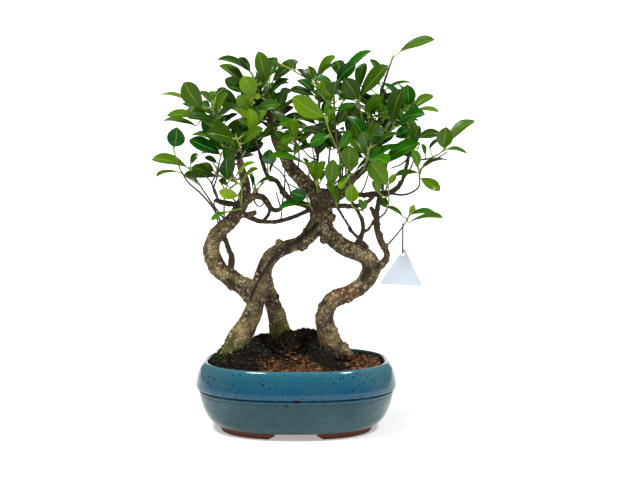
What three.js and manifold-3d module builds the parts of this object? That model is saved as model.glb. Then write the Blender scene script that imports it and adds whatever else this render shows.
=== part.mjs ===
// Chinese banyan bonsai (Ficus microcarpa) in a glazed oval pot, all sizes in millimetres.
// The origin is on the ground under the middle of the whole plant and pot, +Z is up, the front is -Y.

import * as THREE from 'three';
import { mergeVertices } from 'three/addons/utils/BufferGeometryUtils.js';
import Module from 'manifold-3d';

const wasm = await Module();
wasm.setup();

// Driving dimensions of the pot
const POT_LENGTH = 286;
const POT_HEIGHT = 96.5;
const POT_OVAL = 0.76; // depth of the oval over its length
const POT_FULLNESS = 2.4; // exponent of the oval: 2 is a plain ellipse
const POT_SEGMENTS = 28;
const FOOT_TOP = 5.5;
const GROUND = -1.5; // the feet's undersides
const FOOT_OUTER = 113; // radii of the feet's outer and inner faces at their tops
const FOOT_INNER = 88;
const FOOT_SUNK = 2.5; // how far a foot reaches up into the body
const FOOT_TAPER = 0.8; // a foot's length on the ground over its length at the top
const FOOT_FLARE = [-5, 2]; // shift of the outer and inner faces from the top to the ground
const FLOOR_TOP = 13;
const DRAIN_OFFSET = 58; // from the middle to each drainage hole
const DRAIN_RADIUS = 11;

// Driving dimensions of the planting
const GAP = 0.3; // clearance between neighbouring pieces
const SOIL_EDGE = 88; // soil level at the rim
const SOIL_RADIUS = 118.5; // radius of the soil there
const MOUND = 43; // how much the root ball stands above that level

// Driving dimensions of the leaves
const BLADE_THICKNESS = 0.8;
const PETIOLE = 9;
const LEAF_LENGTH = 47;
const LEAF_RATIO = 0.5; // width over length
const BLADE_FOLD = 0.25; // rise of the blade's edges over its half width
const BLADE_ARCH = 0.07; // rise of the midrib over the blade's length
const GOLDEN_ANGLE = 2.39996;

// Driving dimensions of the hang tag
const TAG_THICKNESS = 0.9;
const TAG_HOLE = 2.6;
const TAG_TURN = 0.05; // the card hangs a little askew, in radians
const TIE_RADIUS = 0.9;
const TIE_BEND = 2.8;
const TWIG_RISE = 1.7; // the tie lies on the top of its slanting twig, this much over the twig's axis

// The routes below are given as they look from the front, from an eye 1800 mm before the middle
// of the pot and 436 mm above the ground. at() sets such a point back along its line of sight.
const EYE = new THREE.Vector3(23, -1800, 436);

function at(across, up, depth) {
  const spread = (depth - EYE.y) / -EYE.y;
  return new THREE.Vector3(
    EYE.x + (across - EYE.x) * spread,
    depth,
    EYE.z + (up - EYE.z) * spread,
  );
}

// Colours as seen on the real thing
const FINISH = {
  glaze: { color: 0x2f7390, roughness: 0.2, metalness: 0 },
  soil: { color: 0x2a211a, roughness: 1, metalness: 0 },
  granules: { color: 0x8a5a35, roughness: 0.95, metalness: 0 },
  bark: { color: 0x6b5b45, roughness: 0.85, metalness: 0 },
  leaf: { color: 0x3c7a12, roughness: 0.35, metalness: 0 },
  card: { color: 0xf2f4f4, roughness: 0.6, metalness: 0 },
  tie: { color: 0x1c1a19, roughness: 0.6, metalness: 0 },
  screen: { color: 0x20242a, roughness: 0.6, metalness: 0 },
};

const tree = new THREE.Group();

// A closed geometry becomes a solid that can be joined and cut, and back again.
function toSolid(geometry) {
  geometry.deleteAttribute('normal');
  geometry.deleteAttribute('uv');
  const merged = mergeVertices(geometry, 1e-4);
  return new wasm.Manifold(new wasm.Mesh({
    numProp: 3,
    vertProperties: Float32Array.from(merged.attributes.position.array),
    triVerts: Uint32Array.from(merged.index.array),
  }));
}

function toGeometry(solid) {
  const mesh = solid.getMesh();
  const geometry = new THREE.BufferGeometry();
  geometry.setAttribute('position', new THREE.BufferAttribute(mesh.vertProperties, 3));
  geometry.setIndex(new THREE.BufferAttribute(mesh.triVerts, 1));
  geometry.computeVertexNormals();
  return geometry;
}

function join(solids) {
  return solids.reduce((whole, solid) => whole.add(solid));
}

// A cut can leave a loose scrap, which is dropped.
function largestBody(solid) {
  return solid.decompose().reduce((best, body) => (body.volume() > best.volume() ? body : best));
}

function addPiece(name, solid, finish) {
  const material = new THREE.MeshStandardMaterial(FINISH[finish]);
  const mesh = new THREE.Mesh(toGeometry(solid), material);
  mesh.name = name;
  tree.add(mesh);
}

// A limb is a cylinder bent along its route, with a ring of its own radius at each point.
function limbGeometry(points, radii, sides) {
  const geometry = new THREE.CylinderGeometry(1, 1, 1, sides, points.length - 1);
  const last = points.length - 1;
  const frames = [];
  let side = new THREE.Vector3(0, 1, 0);
  for (let i = 0; i <= last; i += 1) {
    const along = points[Math.min(i + 1, last)].clone().sub(points[Math.max(i - 1, 0)]).normalize();
    if (i === 0 && Math.abs(along.y) > 0.9) side = new THREE.Vector3(1, 0, 0);
    side = side.clone().addScaledVector(along, -side.dot(along)).normalize();
    frames.push({ side, other: new THREE.Vector3().crossVectors(side, along) });
  }
  const place = geometry.attributes.position;
  const vertex = new THREE.Vector3();
  for (let v = 0; v < place.count; v += 1) {
    vertex.fromBufferAttribute(place, v);
    const ring = Math.round((vertex.y + 0.5) * last);
    const target = points[ring].clone();
    target.addScaledVector(frames[ring].side, vertex.x * radii[ring]);
    target.addScaledVector(frames[ring].other, vertex.z * radii[ring]);
    place.setXYZ(v, target.x, target.y, target.z);
  }
  return geometry;
}

// Pot: a turned section stretched to an oval, four arc feet and two drainage holes

const POT_OUTSIDE = [
  [0, FOOT_TOP],
  [106, FOOT_TOP],
  [118, 9],
  [127, 19],
  [133.5, 33],
  [138, 49],
  [139.5, 56],
  [137.6, 57.5],
  [142, 59],
  [POT_LENGTH / 2, 61.5],
  [138.5, 72],
  [134, 85],
  [129.5, 93],
  [124.5, POT_HEIGHT],
];
const POT_INSIDE = [
  [119, 94.5],
  [119.5, 60],
  [98, FLOOR_TOP],
  [0, FLOOR_TOP],
];

// How much further out than a plain ellipse the pot's oval runs, at a place round it
function fullness(angle) {
  const across = Math.abs(Math.cos(angle)) ** POT_FULLNESS;
  const back = Math.abs(Math.sin(angle)) ** POT_FULLNESS;
  return (across + back) ** (-1 / POT_FULLNESS);
}

function turnedOval(profile) {
  const outline = profile.map(([radius, height]) => new THREE.Vector2(radius, height));
  const geometry = new THREE.LatheGeometry(outline, POT_SEGMENTS);
  geometry.rotateX(Math.PI / 2);
  const place = geometry.attributes.position;
  for (let v = 0; v < place.count; v += 1) {
    const full = fullness(Math.atan2(place.getY(v), place.getX(v)));
    place.setXY(v, place.getX(v) * full, place.getY(v) * full * POT_OVAL);
  }
  return geometry;
}

// One foot: a curved block under the edge of the body, narrower at the ground than at its top
function footSolid(from, to) {
  const steps = 4;
  const geometry = new THREE.BoxGeometry(1, 1, 1, steps, 1, 1);
  const place = geometry.attributes.position;
  for (let v = 0; v < place.count; v += 1) {
    const top = place.getZ(v) > 0;
    const outer = place.getY(v) < 0;
    const angle = (from + to) / 2 + place.getX(v) * (to - from) * (top ? 1 : FOOT_TAPER);
    const [flareOut, flareIn] = top ? [0, 0] : FOOT_FLARE;
    const radius = fullness(angle) * (outer ? FOOT_OUTER + flareOut : FOOT_INNER + flareIn);
    place.setXYZ(
      v,
      radius * Math.cos(angle),
      POT_OVAL * radius * Math.sin(angle),
      top ? FOOT_TOP + FOOT_SUNK : GROUND,
    );
  }
  return toSolid(geometry);
}

function cylinderAt(x, y, bottom, top, radius, sides) {
  const geometry = new THREE.CylinderGeometry(radius, radius, top - bottom, sides);
  geometry.rotateX(Math.PI / 2);
  geometry.translate(x, y, (top + bottom) / 2);
  return toSolid(geometry);
}

function makePot() {
  let pot = toSolid(turnedOval([...POT_OUTSIDE, ...POT_INSIDE]));
  const footArc = [1.33, 0.25]; // from near the front's middle to near the pot's side, in radians
  for (const [a, b] of [
    [-footArc[0], -footArc[1]],
    [-Math.PI + footArc[1], -Math.PI + footArc[0]],
    [footArc[1], footArc[0]],
    [Math.PI - footArc[0], Math.PI - footArc[1]],
  ]) {
    pot = pot.add(footSolid(a, b));
  }
  for (const side of [-1, 1]) {
    pot = pot.subtract(cylinderAt(side * DRAIN_OFFSET, 0, GROUND, FLOOR_TOP + 5, DRAIN_RADIUS, 12));
  }
  return pot;
}

// Wood: the routes of the trunks and main branches, each point as [across, up, depth, radius]

const LIMBS = {
  trunkFrontLeft: [
    [-94, 84, -20, 19], [-85, 117, -20, 18], [-77, 134, -18, 16], [-66, 153, -15, 13.8],
    [-58, 177, -12, 12.4], [-52, 203, -9, 12.4], [-45, 226, -8, 11.5], [-36, 243, -7, 10.7],
    [-21, 254, -6, 9.9], [-2, 260, -4, 9.8], [14, 269, -3, 10.5], [31, 291, 0, 13],
  ],
  trunkRear: [
    [-16, 84, 38, 21], [-21, 118, 37, 18], [-25, 145, 31, 14.5], [-31, 168, 23, 12],
    [-38, 191, 11, 10.4], [-44, 215, -2, 8.5],
  ],
  branchLeft: [
    [-60, 179, -8, 10.5], [-73, 197, -4, 12.5], [-90, 210, 0, 12.8], [-107, 223, 2, 12.7],
    [-117, 238, 1, 12], [-121, 253, -2, 11.6], [-116, 269, -4, 10.9], [-104, 284, -8, 10.4],
    [-90, 296, -8, 10], [-80, 312, -5, 9], [-73, 330, -2, 8.2], [-72, 346, 1, 7],
    [-77, 369, 5, 5.5], [-86, 411, 10, 3],
  ],
  trunkRight: [
    [58, 84, -8, 18], [51, 116, -8, 16.2], [43, 139, -8, 13.8], [40, 156, -8, 12.6],
    [46, 174, -8, 12.2], [59, 185, -7, 12], [75, 191, -6, 11.3], [91, 201, -3, 11.6],
    [102, 214, -2, 12.9], [106, 227, 0, 13.5], [102, 240, 0, 12.8], [90, 248, 0, 12],
    [74, 254, 1, 12], [59, 263, 2, 12], [47, 274, 2, 12], [38, 287, 1, 13],
  ],
  crown: [
    [35, 281, 0, 12.5], [34, 299, 0, 15], [36, 316, 0, 16.5], [37, 331, 0, 13], [38, 340, 0, 7],
  ],
  branchUpLeft: [
    [33, 322, 0, 13], [23, 338, 4, 10.5], [11, 350, 8, 9.6], [0, 361, 12, 9.6],
    [-10, 373, 14, 8.4], [-18, 387, 16, 7.4], [-28, 406, 18, 6.4], [-35, 431, 20, 5.4],
    [-38, 451, 20, 3.2],
  ],
  branchUpRight: [
    [42, 318, -2, 10], [52, 331, -4, 8.6], [63, 341, -6, 7.4], [87, 360, -4, 5.2],
    [98, 370, 2, 4.6], [106, 383, 8, 4], [113, 403, 15, 3], [117, 432, 21, 2.1],
  ],
  branchRight: [
    [46, 316, 2, 7], [60, 327, 7, 5.4], [73, 334, 10, 4.8], [90, 331, 12, 4.2],
    [124, 333, 8, 4], [138, 337, 6, 3.8], [149, 350, 6, 3.2], [157, 378, 8, 2.6], [162, 405, 8, 2.1],
  ],
  branchRightLow: [
    [52, 316, -6, 4.5], [66, 315, -4, 3.2], [82, 315, 0, 2.8], [98, 319, 5, 2.8], [109, 329, 9, 2.8],
  ],
  bridge: [
    [-78, 306, -6, 5], [-66, 299, -9, 3.8], [-50, 293, -11, 2.9], [-28, 293, -12, 2.6],
    [-6, 299, -9, 2.6], [24, 312, -2, 3.4],
  ],
  hook: [
    [-75, 320, -4, 7], [-63, 328, -8, 5.6], [-51, 329, -8, 5], [-42, 322, -8, 4.6],
    [-36, 312, -8, 4.2], [-28, 309, -8, 3.8], [-20, 313, -8, 2.8],
  ],
  hookReturn: [
    [-37, 314, -8, 3], [-39, 303, -9, 2.4], [-46, 295, -11, 2.4],
  ],
  darkStub: [
    [-78, 316, -6, 5.5], [-90, 318, -11, 4], [-103, 320, -14, 3.8], [-115, 324, -15, 2.8],
  ],
  branchMiddle: [
    [26, 312, 6, 6], [8, 318, 11, 4.6], [-8, 324, 14, 4.2], [-19, 336, 15, 3.9],
    [-27, 350, 14, 3.6], [-39, 356, 10, 3.2], [-46, 372, 6, 2.7], [-55, 402, -2, 2],
  ],
  sideLoop: [
    [-90, 210, -2, 6], [-93, 224, -6, 4.6], [-92, 243, -9, 3.9], [-97, 258, -9, 3.6], [-103, 272, -7, 4.5],
  ],
  risingRight: [
    [106, 222, 0, 8], [119, 230, 2, 5.8], [128, 242, 3, 4.8], [126, 255, 3, 4.8], [119, 267, 3, 4.7],
    [114, 288, 3, 4.4], [115, 314, 4, 3.6], [118, 330, 6, 3],
  ],
  innerRight: [
    [84, 258, 0, 5], [92, 272, -3, 3.5], [95, 285, -4, 3.3], [91, 299, -4, 2.7],
    [85, 311, -2, 2.2], [78, 322, 0, 1.8],
  ],
  crossTwig: [
    [58, 314, -10, 2.4], [68, 297, -10, 1.9], [80, 278, -9, 1.9], [92, 266, -6, 2], [102, 256, -3, 2.6],
  ],
  linkTwig: [[96, 279, -4, 2.4], [104, 284, -2, 1.9], [110, 295, 1, 2.4]],
  stubRising: [[113, 300, 3, 4.2], [109, 307, 1, 3.4], [105, 314, 0, 2.6]],
  stubLeft: [[-80, 304, -6, 6], [-68, 302, -11, 4.4], [-57, 307, -14, 2.8]],
  knotLeft: [[-121, 252, -4, 8], [-132, 255, -7, 5.4]],
  knotFork: [[-72, 203, -4, 7], [-68, 213, -4, 4.2]],
  knotUnder: [[6, 262, -4, 8], [12, 252, -5, 5.4]],
  knotRight: [[72, 250, 0, 8], [63, 249, -5, 4.4]],
  rootLeft: [[-82, 124, -22, 11], [-94, 116, -25, 8.4], [-102, 105, -27, 6.4], [-106, 92, -27, 6]],
  rootRight: [[52, 116, -9, 11], [66, 112, -11, 8.4], [76, 98, -13, 7.5]],
};
const MAIN_SIDES = 7;
const TWIG_SIDES = 5;
const MAIN_RADIUS = 9; // limbs that start thicker than this get the finer section

function limbSolid(route, grow) {
  const points = route.map(([across, up, depth]) => at(across, up, depth));
  const radii = route.map(([, , , radius]) => radius + grow);
  const sides = Math.max(...radii) > MAIN_RADIUS ? MAIN_SIDES : TWIG_SIDES;
  return toSolid(limbGeometry(points, radii, sides));
}

// Soil: fills the pot and rises to a mound round the trunks

function mound(x, y, centre, reach) {
  const distance = Math.hypot((x - centre[0]) / reach[0], (y - centre[1]) / reach[1]);
  return Math.cos(Math.min(distance, 1) * (Math.PI / 2)) ** 2;
}

function soilLevel(x, y) {
  const rear = MOUND * mound(x, y, [14, 40], [84, 56]);
  const rearLeft = 0.86 * MOUND * mound(x, y, [-44, 32], [74, 60]);
  const left = 0.7 * MOUND * mound(x, y, [-72, -10], [60, 64]);
  const right = 0.66 * MOUND * mound(x, y, [52, 0], [54, 60]);
  return SOIL_EDGE + Math.max(rear, rearLeft, left, right);
}

function soilBlock(lift) {
  const wall = [[0, FLOOR_TOP + GAP], [97.6, FLOOR_TOP + GAP], [119.1, 60.3]];
  const top = [SOIL_RADIUS, 98, 76, 52, 26, 0].map((radius) => [radius, SOIL_EDGE]);
  const geometry = turnedOval([...wall, ...top]);
  const place = geometry.attributes.position;
  for (let v = 0; v < place.count; v += 1) {
    if (place.getZ(v) > SOIL_EDGE - 1) place.setZ(v, soilLevel(place.getX(v), place.getY(v)));
  }
  geometry.translate(0, 0, lift);
  return toSolid(geometry);
}

// Granules of baked clay lie on a thin bed of their own dust that follows the soil.
const GRANULE = 13;
const BED = 1.8;

function wobble(seed) {
  const value = Math.sin(seed * 12.9898) * 43758.5453;
  return value - Math.floor(value);
}

function granuleSolid(x, y, z, seed) {
  const geometry = new THREE.BoxGeometry(1, 1, 1);
  const place = geometry.attributes.position;
  for (let v = 0; v < place.count; v += 1) {
    const corner = (place.getX(v) > 0 ? 1 : 0) + (place.getY(v) > 0 ? 2 : 0) + (place.getZ(v) > 0 ? 4 : 0);
    const pull = 0.8 + 0.35 * wobble(seed * 8 + corner);
    place.setXYZ(v, place.getX(v) * pull, place.getY(v) * pull, place.getZ(v) * pull);
  }
  geometry.scale(GRANULE * (0.9 + 0.5 * wobble(seed + 0.3)), GRANULE * 0.8, GRANULE * 0.72);
  geometry.rotateX(wobble(seed + 0.1) - 0.5);
  geometry.rotateZ(3.1 * wobble(seed + 0.7));
  geometry.translate(x, y, z);
  return toSolid(geometry);
}

function makeDressing(centre, size, count, seed) {
  const top = SOIL_EDGE + MOUND;
  const room = toSolid(turnedOval([[0, 60], [SOIL_RADIUS, 60], [SOIL_RADIUS, top], [0, top]]));
  const bed = cylinderAt(0, 0, SOIL_EDGE - 5, top, 1, 10)
    .scale([size[0], size[1], 1])
    .translate([centre[0], centre[1], 0])
    .intersect(soilBlock(GAP + BED));
  const stones = [];
  for (let k = 0; k < count; k += 1) {
    const reach = Math.sqrt((k + 0.5) / count) * 0.84;
    const turn = k * GOLDEN_ANGLE;
    const x = centre[0] + size[0] * reach * Math.cos(turn);
    const y = centre[1] + size[1] * reach * Math.sin(turn);
    stones.push(granuleSolid(x, y, soilLevel(x, y) + 3.2, seed + k));
  }
  return largestBody(join([bed, ...stones]).subtract(soilBlock(GAP)).intersect(room));
}

// Leaves

function leafFrame(base, tip, seenWidth) {
  const axis = tip.clone().sub(base);
  const length = axis.length();
  axis.normalize();
  const toEye = EYE.clone().sub(base).normalize();
  const facing = toEye.addScaledVector(axis, -toEye.dot(axis)).normalize();
  const across = new THREE.Vector3().crossVectors(axis, facing);
  if (across.z < 0) across.negate();
  const width = Math.min(Math.max(length * LEAF_RATIO, seenWidth), 30);
  const roll = Math.acos(Math.min(seenWidth / width, 1));
  const normal = facing.clone().multiplyScalar(Math.cos(roll)).addScaledVector(across, Math.sin(roll));
  const side = new THREE.Vector3().crossVectors(axis, normal);
  return { axis, normal, side, length, width };
}

// The rows of a leaf, from its root in the twig to its tip: place along the blade, half width as a
// share of the blade's, and whether the row has a midrib point
const LEAF_ROWS = [
  { along: 0.36, share: 0.94, arch: 1, midrib: true },
  { along: 0.73, share: 0.84, arch: 0.9, midrib: false },
];

// start is where the solid begins: at the root in the twig, or in the blade
function leafRows(leaf, grow, start) {
  const { root, base, tip, frame } = leaf;
  const rows = [];
  const pair = (centre, half) => [
    centre.clone().addScaledVector(frame.side, -half),
    centre.clone().addScaledVector(frame.side, half),
  ];
  if (start === 'blade') {
    const inner = base.clone().addScaledVector(frame.axis, frame.length * 0.14);
    rows.push(pair(inner, 3 + grow));
  } else {
    rows.push([root.clone()], pair(base, 1.4 + grow));
  }
  for (const { along, share, arch, midrib } of LEAF_ROWS) {
    const half = (frame.width / 2) * share + grow;
    const middle = base.clone().addScaledVector(frame.axis, frame.length * along);
    middle.addScaledVector(frame.normal, frame.length * BLADE_ARCH * arch);
    const [left, right] = pair(middle, half);
    left.addScaledVector(frame.normal, half * BLADE_FOLD);
    right.addScaledVector(frame.normal, half * BLADE_FOLD);
    rows.push(midrib ? [left, middle, right] : [left, right]);
  }
  rows.push([tip.clone().addScaledVector(frame.axis, grow)]);
  return rows;
}

// Both faces of a leaf are split alike: the underside is the upper side moved down by its thickness.
function leafSolid(leaf, grow, start) {
  const rows = leafRows(leaf, grow, start);
  const half = BLADE_THICKNESS / 2 + grow;
  const points = [];
  const starts = rows.map((row) => {
    const start = points.length;
    points.push(...row);
    return start;
  });
  const top = [];
  const rim = [[], []];
  rows.forEach((row, r) => {
    const a = starts[r];
    rim[0].push(a);
    if (r > 0 || row.length > 1) rim[1].push(a + row.length - 1);
    if (r === rows.length - 1) return;
    const b = starts[r + 1];
    const next = rows[r + 1].length;
    if (row.length === 1) top.push([a, b + 1, b]);
    if (row.length === 2 && next === 2) top.push([a, a + 1, b + 1], [a, b + 1, b]);
    if (row.length === 2 && next === 3) top.push([a, a + 1, b + 1], [a, b + 1, b], [a + 1, b + 2, b + 1]);
    if (row.length === 3) top.push([a, a + 1, b], [a + 1, b + 1, b], [a + 1, a + 2, b + 1]);
    if (row.length === 2 && next === 1) top.push([a, a + 1, b]);
  });
  const count = points.length;
  const place = new Float32Array(count * 6);
  points.forEach((point, i) => {
    point.clone().addScaledVector(leaf.frame.normal, half).toArray(place, i * 3);
    point.clone().addScaledVector(leaf.frame.normal, -half).toArray(place, (count + i) * 3);
  });
  const index = [];
  for (const [a, b, c] of top) index.push(a, b, c, count + a, count + c, count + b);
  const edge = [...rim[1], ...rim[0].slice(0, -1).reverse()];
  edge.forEach((a, i) => {
    const b = edge[(i + 1) % edge.length];
    index.push(b, a, count + a, b, count + a, count + b);
  });
  const geometry = new THREE.BufferGeometry();
  geometry.setAttribute('position', new THREE.BufferAttribute(place, 3));
  geometry.setIndex(index);
  return toSolid(geometry);
}

// Sprays: the leafy shoots. stems holds the twigs as [across, up, depth] from the wood outwards.
// leaves holds each leaf seen from the front as [blade base across, up, tip across, up, width seen,
// depth of the base, depth from base to tip]. fill is the number of further leaves, set by a rule, and
// turn is where round the twig the first of them stands, in radians.

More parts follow.
